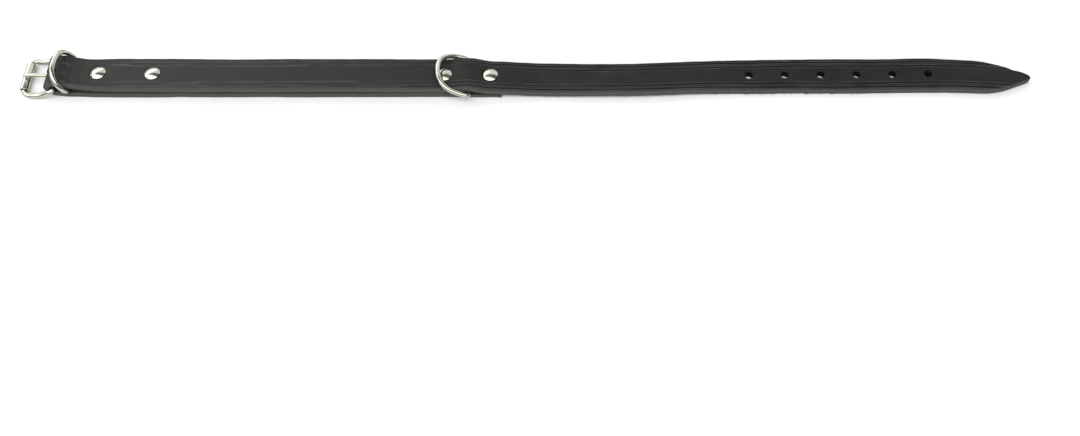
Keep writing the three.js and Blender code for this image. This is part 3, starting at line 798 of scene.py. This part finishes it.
def strap_cutters():
    """Solids that are cut from the strap: holes, prong slot, rivet holes with their seats, channels of the
    bars."""
    tall = 4 * LEATHER
    cutters = []
    for x, foot in zip(HOLE_PLACES, HOLE_FEET):
        low, high = circle(foot / 2) * HOLE_FOOT_SHAPE, circle(HOLE_TOP / 2)
        narrow, wide = float(under_at(x)) + HOLE_FOOT_HEIGHT, float(top_at(x)) - HOLE_TOP_DEPTH
        levels = ((low, -LEATHER), (low, narrow), (high, wide), (high, tall))
        cutters.append(moved(stacked(*levels), (x, sideways(x), 0)))
    slot_half = PRONG_EYE / 2 + SLOT_ROOM
    turn = np.linspace(-np.pi / 2, np.pi / 2, ARC_POINTS)
    levels = []
    for height, reach in SLOT_REACH:
        middle = HEEL_BAR + reach - slot_half
        end = np.stack((middle + slot_half * np.cos(turn), slot_half * np.sin(turn)), -1)
        levels.append((np.vstack(((FRONT_BAR, -slot_half), end, (FRONT_BAR, slot_half))), height))
    cutters.append(moved(stacked(*levels), (0, PRONG_OFFSET, 0)))
    below = -1
    for _, x, shift in RIVETS:
        seat = top_at(x) - CAP_SEAT - GAP
        back = BACK_CAP_CLEAR + BACK_CAP_HEIGHT + GAP
        cap, post, foot = CAP / 2 + SEAT_ROOM, POST / 2 + GAP, BACK_CAP / 2 + SEAT_ROOM
        profile = ((foot, below), (foot, back), (post, back), (post, seat), (cap, seat), (cap, seat + LEATHER))
        cutters.append(moved(lathe(np.array(profile), CUTTER_SIDES), (x, sideways(x) + shift, 0)))
    for _, width, _, place in DEES:
        channel = circle(DEE_WIRE / 2 + GAP)
        points, faces, caps = along_y(stacked((channel, -width / 2), (channel, width / 2)))
        cutters.append((placed(points, place), faces, caps))
    return cutters


def turn_about(axis, degrees):
    """Matrix of a turn about Y or Z."""
    c, s = np.cos(np.radians(degrees)), np.sin(np.radians(degrees))
    return np.array(((c, 0, s), (0, 1, 0), (-s, 0, c)) if axis == "Y" else ((c, -s, 0), (s, c, 0), (0, 0, 1)))


def placed(points, place):
    """Points leaned about the bar, then turned about Z, then moved to the bar's place."""
    x, y, z, lean, skew = place
    return points @ (turn_about("Z", skew) @ turn_about("Y", lean)).T + (x, y, z)


# Dees: name, width, height, and place of the bar with the lean towards the buckle and the skew in degrees
DEES = (
    ("end_dee", END_DEE_WIDTH, END_DEE_HEIGHT, (END_DEE, 0.22, float(bar_height(END_DEE)), 62.71, 0)),
    (
        "middle_dee",
        MIDDLE_DEE_WIDTH,
        MIDDLE_DEE_HEIGHT,
        (MIDDLE_DEE, -0.2, float(bar_height(MIDDLE_DEE)), 24.26, 4.5),
    ),
)


def dee_path(width, height):
    """Half of the loop lies on the straight bar along Y with rounded corners. The bow is an oval filled out
    towards a box: the sine and cosine of the turn are raised to the power of two over the fullness."""
    half = width / 2
    bar = np.linspace(half - DEE_CORNER, -half + DEE_CORNER, DEE_BAR_POINTS)[:-1]
    corner = quarter(0, DEE_CORNER_POINTS)
    power = 2 / DEE_FULLNESS
    bow = np.linspace(0, np.pi, DEE_BOW_POINTS)[1:-1]
    cos = np.cos(bow)
    corner_x, corner_y = -DEE_CORNER * (1 - np.cos(corner)), DEE_CORNER * np.sin(corner) + half - DEE_CORNER
    bow_x = -DEE_CORNER - (height - DEE_CORNER) * np.sin(bow) ** power
    bow_y = -half * np.sign(cos) * np.abs(cos) ** power
    x = np.concatenate((0 * bar, corner_x, bow_x, corner_x[::-1]))
    y = np.concatenate((bar, -corner_y, bow_y, corner_y[::-1]))
    return np.stack((x, y, 0 * x), -1)


def dee_shell(width, height, place):
    """Round wire along the dee's loop."""
    points, faces, caps = wire_loop(resample(dee_path(width, height), DEE_STEP), DEE_WIRE / 2)
    return placed(points, place), faces, caps


def frame_shell():
    """Wire frame in plan: a rounded rectangle. Its height follows the rails from the front bar to the heel
    bar, and its wire swells between them by the sine of the way along."""
    half = RAIL_SPACING / 2
    corners = []
    for x, y, start in ((FRONT_BAR, -1, 2), (HEEL_BAR, -1, 3), (HEEL_BAR, 1, 0), (FRONT_BAR, 1, 1)):
        size = FRONT_CORNER if x == FRONT_BAR else HEEL_CORNER
        turn = quarter(start, ARC_POINTS)
        middle = (x + (size if x == FRONT_BAR else -size), y * (half - size))
        corner = (middle[0] + size * np.cos(turn), middle[1] + size * np.sin(turn), 0 * turn)
        corners.append(np.stack(corner, -1))
    path = resample(np.concatenate(corners), FRAME_STEP)
    share = (path[:, 0] - FRONT_BAR) / (HEEL_BAR - FRONT_BAR)
    rail = np.array(((0, ROLLER / 2), (RAIL_FOOT, RAIL_WIRE / 2), (1, HEEL_HEIGHT)))
    path[:, 1] += FRAME_OFFSET
    path[:, 2] = read_table(rail, 1, share)
    return wire_loop(path, part_way(FRAME_WIRE, RAIL_WIRE, np.sin(np.pi * np.clip(share, 0, 1))) / 2)


def ring_profile(inner, outer, half, rounding):
    """Section of a tube: a rectangle of radius and height with its four corners rounded."""
    profile = []
    for x, z, start in ((inner, half, 1), (inner, -half, 2), (outer, -half, 3), (outer, half, 0)):
        turn = quarter(start, ROUNDING_POINTS)
        middle_x = x + (rounding if x == inner else -rounding)
        middle_z = z - np.sign(z) * rounding
        profile.append(np.stack((middle_x + rounding * np.cos(turn), middle_z + rounding * np.sin(turn)), -1))
    return np.concatenate(profile)


def along_y(shell):
    """A shell about the Z axis turned so that it is about the Y axis."""
    points, faces, caps = shell
    return np.stack((points[:, 0], points[:, 2], -points[:, 1]), -1), faces, caps


def roller_shell():
    """Open tube round the front bar, with the fine seam of rolled sheet along it: outside its bore, the
    radius dips there by a bell curve of the turn."""
    bore = FRAME_WIRE / 2 + GAP
    profile = ring_profile(bore, ROLLER / 2, ROLLER_LENGTH / 2, ROLLER_ROUND)
    points, faces, caps = lathe(profile, ROLLER_SIDES, closed=True)
    turn = np.arctan2(points[:, 1], points[:, 0])
    radius = np.hypot(points[:, 0], points[:, 1])
    outside = radius > (bore + ROLLER / 2) / 2
    dip = SEAM_DEPTH * np.exp(-(((turn - SEAM_TURN) / SEAM_WIDTH) ** 2)) * outside
    points[:, :2] *= (1 - dip / radius)[:, None]
    return moved(along_y((points, faces, caps)), (FRONT_BAR, FRAME_OFFSET, ROLLER / 2))


def prong_shells():
    """Eye round the heel bar, and a shank of round wire along a smooth line from the eye to the roller.

    Past the front bar the line ends on the circle that keeps the clearance round the roller. The tip is
    rounded as a ball is: its section's area falls with the square of the share of the tip's length.
    """
    bore = FRAME_WIRE / 2 + GAP
    section = ring_profile(bore, bore + PRONG_EYE_WALL, PRONG_EYE / 2, PRONG_EYE_ROUND)
    eye = along_y(lathe(section, EYE_SIDES, closed=True))
    front = HEEL_BAR - FRONT_BAR
    roller_rise = ROLLER / 2 - HEEL_HEIGHT
    over = ROLLER / 2 + GAP + PRONG_WIRE / 2
    top = over + roller_rise
    tip = np.sqrt(over**2 - PRONG_PAST_FRONT**2) + roller_rise
    # Way from the heel bar, and height over it
    line = np.array(
        (
            (bore + PRONG_EYE_WALL / 2, PRONG_START * top),
            *((way * front, height * top) for way, height in PRONG_LINE),
            (front, top),
            (front + PRONG_PAST_FRONT, tip),
        )
    )
    reach = line[-1, 0]
    rounded = reach - PRONG_TIP * np.cos(np.linspace(0, PRONG_TIP_TURN, PRONG_TIP_POINTS))[1:]
    x = np.concatenate((spread(line[0, 0], reach - PRONG_TIP, PRONG_STEP), rounded))
    path = np.stack((-x, 0 * x, read_table(line, 1, x)), -1)
    along = unit(np.gradient(path, axis=0))
    side = np.broadcast_to(np.array((0.0, 1.0, 0.0)), path.shape)
    in_tip = (x - reach + PRONG_TIP).clip(0) / PRONG_TIP
    radius = PRONG_WIRE / 2 * np.sqrt(np.clip(1 - in_tip**2, PRONG_TIP_LEAST, 1))
    shank = tube(rings_along(path, radius, side, np.cross(side, along), PRONG_SIDES))
    place = (HEEL_BAR, PRONG_OFFSET, HEEL_HEIGHT)
    return moved(eye, place), moved(shank, place)


def rivet_shell(x, shift):
    """Cap rivet turned about its post: low back cap with a dimple, post, and a cap whose dome is part of a
    ball. The ball's radius is the sum of the squares of the cap's radius and the dome's rise, over twice
    the rise."""
    seat = float(top_at(x)) - CAP_SEAT
    back, post, cap = BACK_CAP / 2, POST / 2, CAP / 2
    back_top = BACK_CAP_CLEAR + BACK_CAP_HEIGHT
    rise = CAP_HEIGHT - CAP_RIM
    ball = (cap**2 + rise**2) / (2 * rise)
    dome = np.linspace(np.arcsin(cap / ball), DOME_FLAT, DOME_POINTS)
    rim = quarter(-1, CAP_RIM_POINTS)
    rim_x, rim_z = cap - CAP_RIM_ROUND * (1 - np.cos(rim)), seat + CAP_RIM_ROUND * (1 + np.sin(rim))
    profile = np.vstack(
        (
            np.array(BACK_DIMPLE) + (0, BACK_CAP_CLEAR),
            *((back - inwards, BACK_CAP_CLEAR + height) for inwards, height in BACK_RIM),
            (back, back_top),
            (post, back_top),
            (post, seat),
            (cap - CAP_UNDERSIDE, seat),
            np.stack((rim_x, rim_z), -1),
            np.stack((ball * np.sin(dome), seat + CAP_HEIGHT - ball * (1 - np.cos(dome))), -1),
        )
    )
    return moved(lathe(profile, RIVET_SIDES), (x, float(sideways(x)) + shift, 0))


class Value:
    """A number that varies over the surface. Arithmetic on it adds Math nodes to its finish."""

    def __init__(self, finish, socket):
        self.finish = finish
        self.socket = socket

    def math(self, operation, *others):
        """A Math node of this value and others."""
        return self.finish.add("ShaderNodeMath", {"operation": operation}, dict(enumerate((self, *others))))

    def __add__(self, other):
        return self.math("ADD", other)

    def __sub__(self, other):
        return self.math("SUBTRACT", other)

    def __rsub__(self, other):
        return self.finish.add("ShaderNodeMath", {"operation": "SUBTRACT"}, {0: other, 1: self})

    def __mul__(self, other):
        return self.math("MULTIPLY", other)

    __radd__ = __add__
    __rmul__ = __mul__

    def rise(self, low, high):
        """0 below low, 1 above high, and a smooth rise between them."""
        settings = {"interpolation_type": "SMOOTHSTEP"}
        values = {"Value": self, "From Min": low, "From Max": high}
        return self.finish.add("ShaderNodeMapRange", settings, values)


class Finish:
    """One finish's material, its nodes added through one method."""

    def __init__(self, name):
        self.material = bpy.data.materials.new(name)
        self.material.use_nodes = True
        self.tree = self.material.node_tree
        self.tree.nodes.clear()

    def add(self, kind, settings=None, values=None, output=0):
        """A node of a type, its settings made first and then the values or links of its sockets."""
        node = self.tree.nodes.new(kind)
        for name, setting in (settings or {}).items():
            setattr(node, name, setting)
        for key, value in (values or {}).items():
            if isinstance(value, Value):
                self.tree.links.new(value.socket, node.inputs[key])
            else:
                node.inputs[key].default_value = value
        return Value(self, node.outputs[output]) if node.outputs else None

    def attribute(self, name):
        """A number that is stored with the mesh."""
        return self.add("ShaderNodeAttribute", {"attribute_name": name}, output="Fac")

    def combine(self, x, y, z):
        """A place of three numbers."""
        return self.add("ShaderNodeCombineXYZ", None, {0: x, 1: y, 2: z})

    def noise(self, vector, scale, detail, roughness=0.5):
        """Cloudy noise between 0 and 1."""
        values = {"Vector": vector, "Scale": scale, "Detail": detail, "Roughness": roughness}
        return self.add("ShaderNodeTexNoise", None, values)

    def cells(self, vector, scale):
        """Distance to the nearest of many scattered points, in parts of their spacing."""
        return self.add("ShaderNodeTexVoronoi", None, {"Vector": vector, "Scale": scale})

    def mix(self, share, first, second):
        """Colour between two; the Mix node's colour sockets are its seventh and eighth."""
        return self.add("ShaderNodeMix", {"data_type": "RGBA"}, {0: share, 6: first, 7: second}, output=2)

    def bump(self, height, distance):
        """Normal of a relief given in parts of a distance in metres."""
        return self.add("ShaderNodeBump", None, {"Height": height, "Distance": distance})

    def surface(self, **values):
        """The finish's shader; names are the shader's sockets with underscores for spaces."""
        sockets = {name.replace("_", " "): value for name, value in values.items()}
        shader = self.add("ShaderNodeBsdfPrincipled", None, sockets)
        self.add("ShaderNodeOutputMaterial", None, {"Surface": shader})
        return self.material


# Light marks on the grain side: distance along the strap from the end of the underlay, distance across it,
# length and width. Each fades from this share of its width outwards.
SCUFFS = (
    (234.6, 4.0, 2.0, 0.5),
    (236.2, 3.0, 1.0, 0.45),
    (234.5, -0.1, 0.3, 0.5),
    (234.8, -2.1, 1.4, 0.35),
    (235.4, -7.0, 1.6, 0.45),
    (239.8, -9.0, 3.6, 0.7),
    (262.0, 5.6, 9.0, 0.35),
    (296.0, -5.9, 14.0, 0.3),
    (352.0, 5.2, 11.0, 0.3),
    (569.0, 8.9, 1.5, 0.4),
    (600.6, 8.8, 3.5, 0.5),
)
SCUFF_CORE = 0.4


def scuff(along, across, place, height, length, width):
    """1 along a short mark that runs along the strap, and 0 a width away from it: the distance to its
    nearest point is the root of the squares of the way past its end and the way beside it."""
    ahead = ((along - place).math("ABSOLUTE") - length / 2).math("MAXIMUM", 0)
    beside = across - height
    return 1 - (ahead * ahead + beside * beside).math("SQRT").rise(width * SCUFF_CORE, width)


# Leather: patterns with their scale per millimetre, detail and roughness; how the long ones are stretched
# along and across; and how far the cut edge and the flesh side are moved in a pattern, so that they don't
# go on with it
PORE_SCALE = 1.9
FINE_GRAIN = (3.1, 3, 0.6)
MOTTLE = (0.11, 3)
STREAKS = (1.0, 4, 0.6)
WRINKLES = (1.0, 4, 0.65)
NAP = (2.2, 4, 0.7)
STREAK_STRETCH = (0.06, 0.9)
WRINKLE_STRETCH = (0.35, 1.1)
NAP_STRETCH = (0.7, 3)
EDGE_OFFSET = 7
FLESH_OFFSET = 13
WRINKLE_OFFSET = 3

# Where a pattern, or a value that is stored with the mesh, starts to count, and from where it counts fully.
# The strap is painted paler with a painted sheen fully up to the first distance along it, and no more from the
# second.
SHEEN_TOWARDS_BUCKLE = (250, 500)
GROOVE_SEEN = (0.52, 0.8)
RIM_HIGHLIGHT_SEEN = (0.2, 0.5)
RIM_HIGHLIGHT_STREAKS = (0.35, 0.65)
MARK_GRAIN = (0.36, 0.6)
SHEEN_STREAKS = (0.35, 0.75)
WORN_MOTTLE = (0.4, 0.8)
FRAY = (0.35, 0.75)
PORE = (0, 0.55)
RAISED_STREAKS = (0.3, 0.8)

SHEEN_TOWARDS_BUCKLE_SHARE = 0.95
MARK_SHARE = 0.5
# Painted highlight colour on the raised rim beside each crease
RIM_HIGHLIGHT_COLOUR = (0.048, 0.053, 0.047, 1)
# Painted shade colour in the grooves of the creases and on the walls of the cuts
GROOVE_SHADE_COLOUR = (0.002, 0.002, 0.002, 1)
LEATHER_GLOSS = 0.15


def leather_finish(settings):
    """Black dyed and waxed leather: fine pores, soft streaks along the strap whose paler colour is a painted
    sheen, paler mottling, a painted sheen that fades away from the buckle, painted highlights on the raised
    rim beside each crease and painted shade in its groove, a paler fibrous cut edge, and a nap on the flesh
    side. Each sum gives a pattern's weight before it."""
    finish = Finish("waxed_leather")
    along, across, cut, flesh, crease = (finish.attribute(name) for name in LIE_NAMES)
    layer = cut * EDGE_OFFSET + flesh * FLESH_OFFSET
    lie = finish.combine(along, across, layer)
    lengthwise = finish.combine(along * STREAK_STRETCH[0], across * STREAK_STRETCH[1], layer)
    crosswise = finish.combine(along * WRINKLE_STRETCH[0], across * WRINKLE_STRETCH[1], WRINKLE_OFFSET)
    fibres = finish.combine(along * NAP_STRETCH[0], across * NAP_STRETCH[1], 0)

    pores = finish.cells(lie, PORE_SCALE)
    fine = finish.noise(lie, *FINE_GRAIN)
    mottle = finish.noise(lie, *MOTTLE)
    streaks = finish.noise(lengthwise, *STREAKS)
    wrinkles = finish.noise(crosswise, *WRINKLES)
    nap = finish.noise(fibres, *NAP)
    marks = scuff(along, across, *SCUFFS[0])
    for row in SCUFFS[1:]:
        marks = marks.math("MAXIMUM", scuff(along, across, *row))
    marks = marks * fine.rise(*MARK_GRAIN)

    black = (*settings.leather_colour, 1)
    worn_and_sheen = (*settings.worn_and_sheen_colour, 1)
    edge = (*settings.edge_colour, 1)
    napped = (*settings.flesh_colour, 1)
    # Painted sheen: the leather is painted paler towards the buckle
    sheen_towards_buckle = 1 - along.rise(*SHEEN_TOWARDS_BUCKLE)
    # Painted shade in the grooves of the creases and on the walls of the cuts
    groove_shade = crease.rise(*GROOVE_SEEN)
    # Painted highlights on the raised rim beside each crease, stronger along the streaks
    rim_highlights = crease.rise(*RIM_HIGHLIGHT_SEEN) * (1 - groove_shade) * (0.25 + 1.3 * streaks.rise(*RIM_HIGHLIGHT_STREAKS))
    fray = nap.rise(*FRAY)
    # Paler colour in soft mottling, and along the streaks a painted sheen
    rubbed_and_sheen = 0.3 * streaks.rise(*SHEEN_STREAKS) + 0.35 * mottle.rise(*WORN_MOTTLE)
    colour = finish.mix(rubbed_and_sheen, black, worn_and_sheen)
    colour = finish.mix(sheen_towards_buckle * SHEEN_TOWARDS_BUCKLE_SHARE, colour, worn_and_sheen)
    colour = finish.mix(rim_highlights, colour, RIM_HIGHLIGHT_COLOUR)
    colour = finish.mix(groove_shade, colour, GROOVE_SHADE_COLOUR)
    colour = finish.mix(marks * MARK_SHARE, colour, edge)
    colour = finish.mix(cut, colour, finish.mix(fray, napped, edge))
    colour = finish.mix(flesh * (0.5 + 0.5 * fray), colour, napped)

    fabric = cut.math("MAXIMUM", flesh)
    waxed = 0.36 + 0.14 * streaks + 0.1 * fine + 0.15 * groove_shade + 0.1 * marks
    rough = waxed * (1 - fabric) + fabric * (0.62 + 0.15 * nap)

    grain = 1 - pores.rise(*PORE)
    raised = (0.5 + crease) * streaks.rise(*RAISED_STREAKS)
    relief = 0.35 * grain + 0.25 * fine + raised + 0.4 * wrinkles
    relief = relief * (1 - fabric) + fabric * (2.6 * nap)
    normal = finish.bump(relief, settings.grain_depth)
    return finish.surface(Base_Color=colour, Roughness=rough, Normal=normal, Specular_IOR_Level=LEATHER_GLOSS)


# Nickel plate: patterns with their scale per metre, detail and roughness. Scratches run in two directions:
# turn and stretch of the pattern, the pattern, and where it counts as a scratch.
PATCHES = (260, 4, 0.6)
HAZE = (1400, 3, 0.6)
SCRATCHES = (
    ((0.3, 0.2, 0.7), (1, 14, 3), (420, 2, 0.7), (0.62, 0.72)),
    ((1.1, 0.4, -0.5), (12, 1, 2), (380, 2, 0.7), (0.64, 0.74)),
)
DULLED = (0.45, 0.75)
DULLED_SHARE = 0.7
PLATE_RELIEF = 0.00004


def nickel_finish(settings):
    """Nickel plate: pale and a little yellow, dulled in patches, with fine scratches in two directions."""
    finish = Finish("nickel_plate")
    place = finish.add("ShaderNodeTexCoord", output="Object")
    patches = finish.noise(place, *PATCHES)
    haze = finish.noise(place, *HAZE)
    lines = []
    for turn, stretch, pattern, counts in SCRATCHES:
        values = {"Vector": place, "Rotation": turn, "Scale": stretch}
        lines.append(finish.noise(finish.add("ShaderNodeMapping", None, values), *pattern).rise(*counts))
    scratches = lines[0].math("MAXIMUM", lines[1])
    dull = patches.rise(*DULLED)
    bright, tarnished = (*settings.nickel_colour, 1), (*settings.tarnish_colour, 1)
    colour = finish.mix(dull * DULLED_SHARE, bright, tarnished)
    rough = settings.nickel_roughness + 0.08 * dull + 0.1 * scratches + 0.05 * haze
    relief = 0.5 * patches + 0.15 * haze - 0.12 * scratches
    normal = finish.bump(relief, PLATE_RELIEF)
    return finish.surface(Base_Color=colour, Metallic=1.0, Roughness=rough, Normal=normal)


# Floor: half its width and its height in millimetres, so that it is just under the collar; the two colours
# of the card, the scale per metre and detail of the clouds between them, and its roughness
FLOOR_HALF = 4000
FLOOR_HEIGHT = -0.02
CARD_COLOURS = ((0.82, 0.82, 0.817, 1), (0.84, 0.84, 0.837, 1))
CARD_CLOUDS = (3, 2)
CARD_ROUGHNESS = 0.9


def floor_finish():
    """Plain pale card with the faintest unevenness."""
    finish = Finish("pale_card")
    place = finish.add("ShaderNodeTexCoord", output="Object")
    colour = finish.mix(finish.noise(place, *CARD_CLOUDS), *CARD_COLOURS)
    return finish.surface(Base_Color=colour, Roughness=CARD_ROUGHNESS)


def leather_material(settings):
    """The leather's material, made once."""
    return bpy.data.materials.get("waxed_leather") or leather_finish(settings)


def nickel_material(settings):
    """The nickel's material, made once."""
    return bpy.data.materials.get("nickel_plate") or nickel_finish(settings)


def fittings(name, shells, body, settings):
    """A metal piece that stands for the frame's node of the same name: its first shell, joined with the
    others."""
    piece = add_object(name + "_metal", make_mesh(name, shells[0]))
    for shell in shells[1:]:
        combine(piece, add_object("tool", make_mesh("tool", shell)), "UNION")
    finish_piece(piece, nickel_material(settings), SHARP_METAL)
    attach(piece, body)
    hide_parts(name)


class CollarSettings(bpy.types.PropertyGroup):
    """Sizes and colours that a user would change."""

    crease_depth: bpy.props.FloatProperty(
        name="Crease Depth", description="Depth of the creased lines", default=0.00042, min=0, max=0.001,
        unit="LENGTH", precision=5,
    )
    grain_depth: bpy.props.FloatProperty(
        name="Grain Depth", description="Depth of the pores and streaks of the grain", default=0.00006, min=0,
        max=0.0005, unit="LENGTH", precision=5,
    )
    unevenness: bpy.props.FloatProperty(
        name="Unevenness", description="How far the leather's edges and face wander, as a factor", default=1,
        min=0, max=2, subtype="FACTOR",
    )
    leather_colour: bpy.props.FloatVectorProperty(
        name="Leather", description="Dye of the grain side", default=(0.0088, 0.0094, 0.0084), min=0, max=1,
        subtype="COLOR",
    )
    # Paler colour of the mottling, and of the painted sheen along the streaks and towards the buckle
    worn_and_sheen_colour: bpy.props.FloatVectorProperty(
        name="Rubbed Leather", description="Colour of streaks and of rubbed leather",
        default=(0.023, 0.0252, 0.0228), min=0, max=1, subtype="COLOR",
    )
    edge_colour: bpy.props.FloatVectorProperty(
        name="Cut Edge", description="Colour of the fibres on the cut edge", default=(0.15, 0.158, 0.148),
        min=0, max=1, subtype="COLOR",
    )
    flesh_colour: bpy.props.FloatVectorProperty(
        name="Flesh Side", description="Colour of the napped underside", default=(0.04, 0.036, 0.032), min=0,
        max=1, subtype="COLOR",
    )
    nickel_colour: bpy.props.FloatVectorProperty(
        name="Nickel", description="Colour of the bright plate", default=(0.5, 0.5, 0.43), min=0, max=1,
        subtype="COLOR",
    )
    tarnish_colour: bpy.props.FloatVectorProperty(
        name="Dulled Nickel", description="Colour of the dulled patches", default=(0.37, 0.37, 0.3),
        min=0, max=1, subtype="COLOR",
    )
    nickel_roughness: bpy.props.FloatProperty(
        name="Polish", description="Roughness of the bright plate", default=0.12, min=0, max=1,
        subtype="FACTOR",
    )
    light_strength: bpy.props.FloatProperty(
        name="Light", description="Strength of the soft boxes, as a factor", default=1, min=0, max=5,
        subtype="FACTOR",
    )


class COLLAR_OT_strap(bpy.types.Operator):
    """Add the leather strap with its fold, creased lines, holes and prong slot, and the hairs of its near
    edge"""

    bl_idname = "collar.strap"
    bl_label = "Strap"
    bl_options = {"REGISTER", "UNDO"}

    def execute(self, context):
        settings = context.scene.collar
        shell, *lie = strap_skin(settings.crease_depth / MM, settings.unevenness)
        mesh = make_mesh("strap", shell)
        store_points(mesh, strap_lie(*lie))
        piece = add_object("strap_leather", mesh)
        # The walls of the holes are grain as dark as a crease
        tool = make_mesh("cutters", *strap_cutters())
        place = np.zeros(len(tool.vertices) * 3, np.float32)
        tool.vertices.foreach_get("co", place)
        # The walls of the holes and of the other cuts get a crease value of 1, so they take the painted shade
        # of a crease's groove
        x, _, z = place.reshape(-1, 3).T / MM
        store_points(tool, (x, z, 0 * x, 0 * x, 0 * x + 1))
        combine(piece, add_object("cutters", tool), "DIFFERENCE")
        finish_piece(piece, leather_material(settings))
        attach(piece, "collar")
        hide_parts("strap")

        fringe = add_object("strap_fibres", make_mesh("fibres", *fibre_shells()))
        finish_piece(fringe, leather_material(settings))
        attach(fringe, "collar")
        return {"FINISHED"}


class COLLAR_OT_rivets(bpy.types.Operator):
    """Add the four cap rivets"""

    bl_idname = "collar.rivets"
    bl_label = "Rivets"
    bl_options = {"REGISTER", "UNDO"}

    def execute(self, context):
        for name, x, shift in RIVETS:
            fittings(name, [rivet_shell(x, shift)], "collar", context.scene.collar)
        return {"FINISHED"}


class COLLAR_OT_dees(bpy.types.Operator):
    """Add the dee at the buckle and the dee in the middle of the strap"""

    bl_idname = "collar.dees"
    bl_label = "Dees"
    bl_options = {"REGISTER", "UNDO"}

    def execute(self, context):
        for name, width, height, place in DEES:
            fittings(name, [dee_shell(width, height, place)], name, context.scene.collar)
        return {"FINISHED"}


class COLLAR_OT_buckle(bpy.types.Operator):
    """Add the buckle: wire frame, roller and prong"""

    bl_idname = "collar.buckle"
    bl_label = "Buckle"
    bl_options = {"REGISTER", "UNDO"}

    def execute(self, context):
        settings = context.scene.collar
        fittings("buckle_frame", [frame_shell()], "frame", settings)
        fittings("buckle_roller", [roller_shell()], "roller", settings)
        fittings("buckle_prong", prong_shells(), "prong", settings)
        return {"FINISHED"}


# Soft boxes: name, place, target, width and height in metres, power in watts. The room's own light is even.
SOFT_BOXES = (
    ("far_box", (-0.3, 1.107, 0.79), (-0.1, 0, 0), (5.0, 1.42), 24),
    ("left_box", (-1.0, 0.9, 0.85), (-0.2, 0, 0), (2.2, 0.8), 8),
    ("near_box", (-0.2, -0.58, 1.08), (-0.05, 0, 0), (3.6, 1.4), 37),
)
ROOM_COLOUR = (0.97, 0.98, 1, 1)
ROOM_STRENGTH = 0.16

# Camera: place in metres, tilt from straight down in degrees, focal length and sensor width in millimetres,
# and nearest distance that it sees in metres
CAMERA_PLACE = (0.0069, -0.3274, 0.4278)
CAMERA_TILT = 30
CAMERA_LENS = 35
CAMERA_SENSOR = 36
CAMERA_NEAREST = 0.01


def soft_box(name, place, target, size, power):
    """Rectangular light that faces a point."""
    light = bpy.data.lights.new(name, "AREA")
    light.shape = "RECTANGLE"
    light.size, light.size_y = size
    light.energy = power
    lamp = bpy.data.objects.new(name, light)
    lamp.location = place
    lamp.rotation_euler = (Vector(target) - Vector(place)).to_track_quat("-Z", "Y").to_euler()
    bpy.context.scene.collection.objects.link(lamp)


class COLLAR_OT_stage(bpy.types.Operator):
    """Add the pale floor, the soft light and the camera"""

    bl_idname = "collar.stage"
    bl_label = "Stage"
    bl_options = {"REGISTER", "UNDO"}

    def execute(self, context):
        scene = context.scene
        corners = np.array([(x, y, FLOOR_HEIGHT) for x, y in ((-1, -1), (1, -1), (1, 1), (-1, 1))])
        corners[:, :2] *= FLOOR_HALF
        floor = add_object("floor", make_mesh("floor", (corners, np.arange(4)[None], ())))
        finish_piece(floor, floor_finish())

        world = bpy.data.worlds.new("studio")
        world.use_nodes = True
        room = world.node_tree.nodes["Background"].inputs
        room["Color"].default_value = ROOM_COLOUR
        room["Strength"].default_value = ROOM_STRENGTH
        scene.world = world
        for name, place, target, size, power in SOFT_BOXES:
            soft_box(name, place, target, size, power * scene.collar.light_strength)

        camera = bpy.data.cameras.new("camera")
        camera.lens = CAMERA_LENS
        camera.sensor_width = CAMERA_SENSOR
        camera.clip_start = CAMERA_NEAREST
        view = bpy.data.objects.new("camera", camera)
        view.location = CAMERA_PLACE
        view.rotation_euler = (np.radians(CAMERA_TILT), 0, 0)
        scene.collection.objects.link(view)
        scene.camera = view
        scene.view_settings.view_transform = "Standard"
        return {"FINISHED"}


class COLLAR_PT_panel(bpy.types.Panel):
    """The collar's settings and pieces"""

    bl_label = "Dog Collar"
    bl_idname = "COLLAR_PT_panel"
    bl_space_type = "VIEW_3D"
    bl_region_type = "UI"
    bl_category = "Collar"

    def draw(self, context):
        for name in CollarSettings.__annotations__:
            self.layout.prop(context.scene.collar, name)
        for operator in OPERATORS:
            self.layout.operator(operator.bl_idname)


OPERATORS = (COLLAR_OT_strap, COLLAR_OT_rivets, COLLAR_OT_dees, COLLAR_OT_buckle, COLLAR_OT_stage)


def register():
    """Register the classes and give each scene its collar settings."""
    for kind in (CollarSettings, *OPERATORS, COLLAR_PT_panel):
        bpy.utils.register_class(kind)
    bpy.types.Scene.collar = bpy.props.PointerProperty(type=CollarSettings)


def unregister():
    """Take the settings and the classes away again, the last one first."""
    del bpy.types.Scene.collar
    for kind in (COLLAR_PT_panel, *reversed(OPERATORS), CollarSettings):
        bpy.utils.unregister_class(kind)


def main():
    """Build the collar and its stage."""
    register()
    bpy.ops.collar.strap()
    bpy.ops.collar.rivets()
    bpy.ops.collar.dees()
    bpy.ops.collar.buckle()
    bpy.ops.collar.stage()


if __name__ == "__main__":
    main()
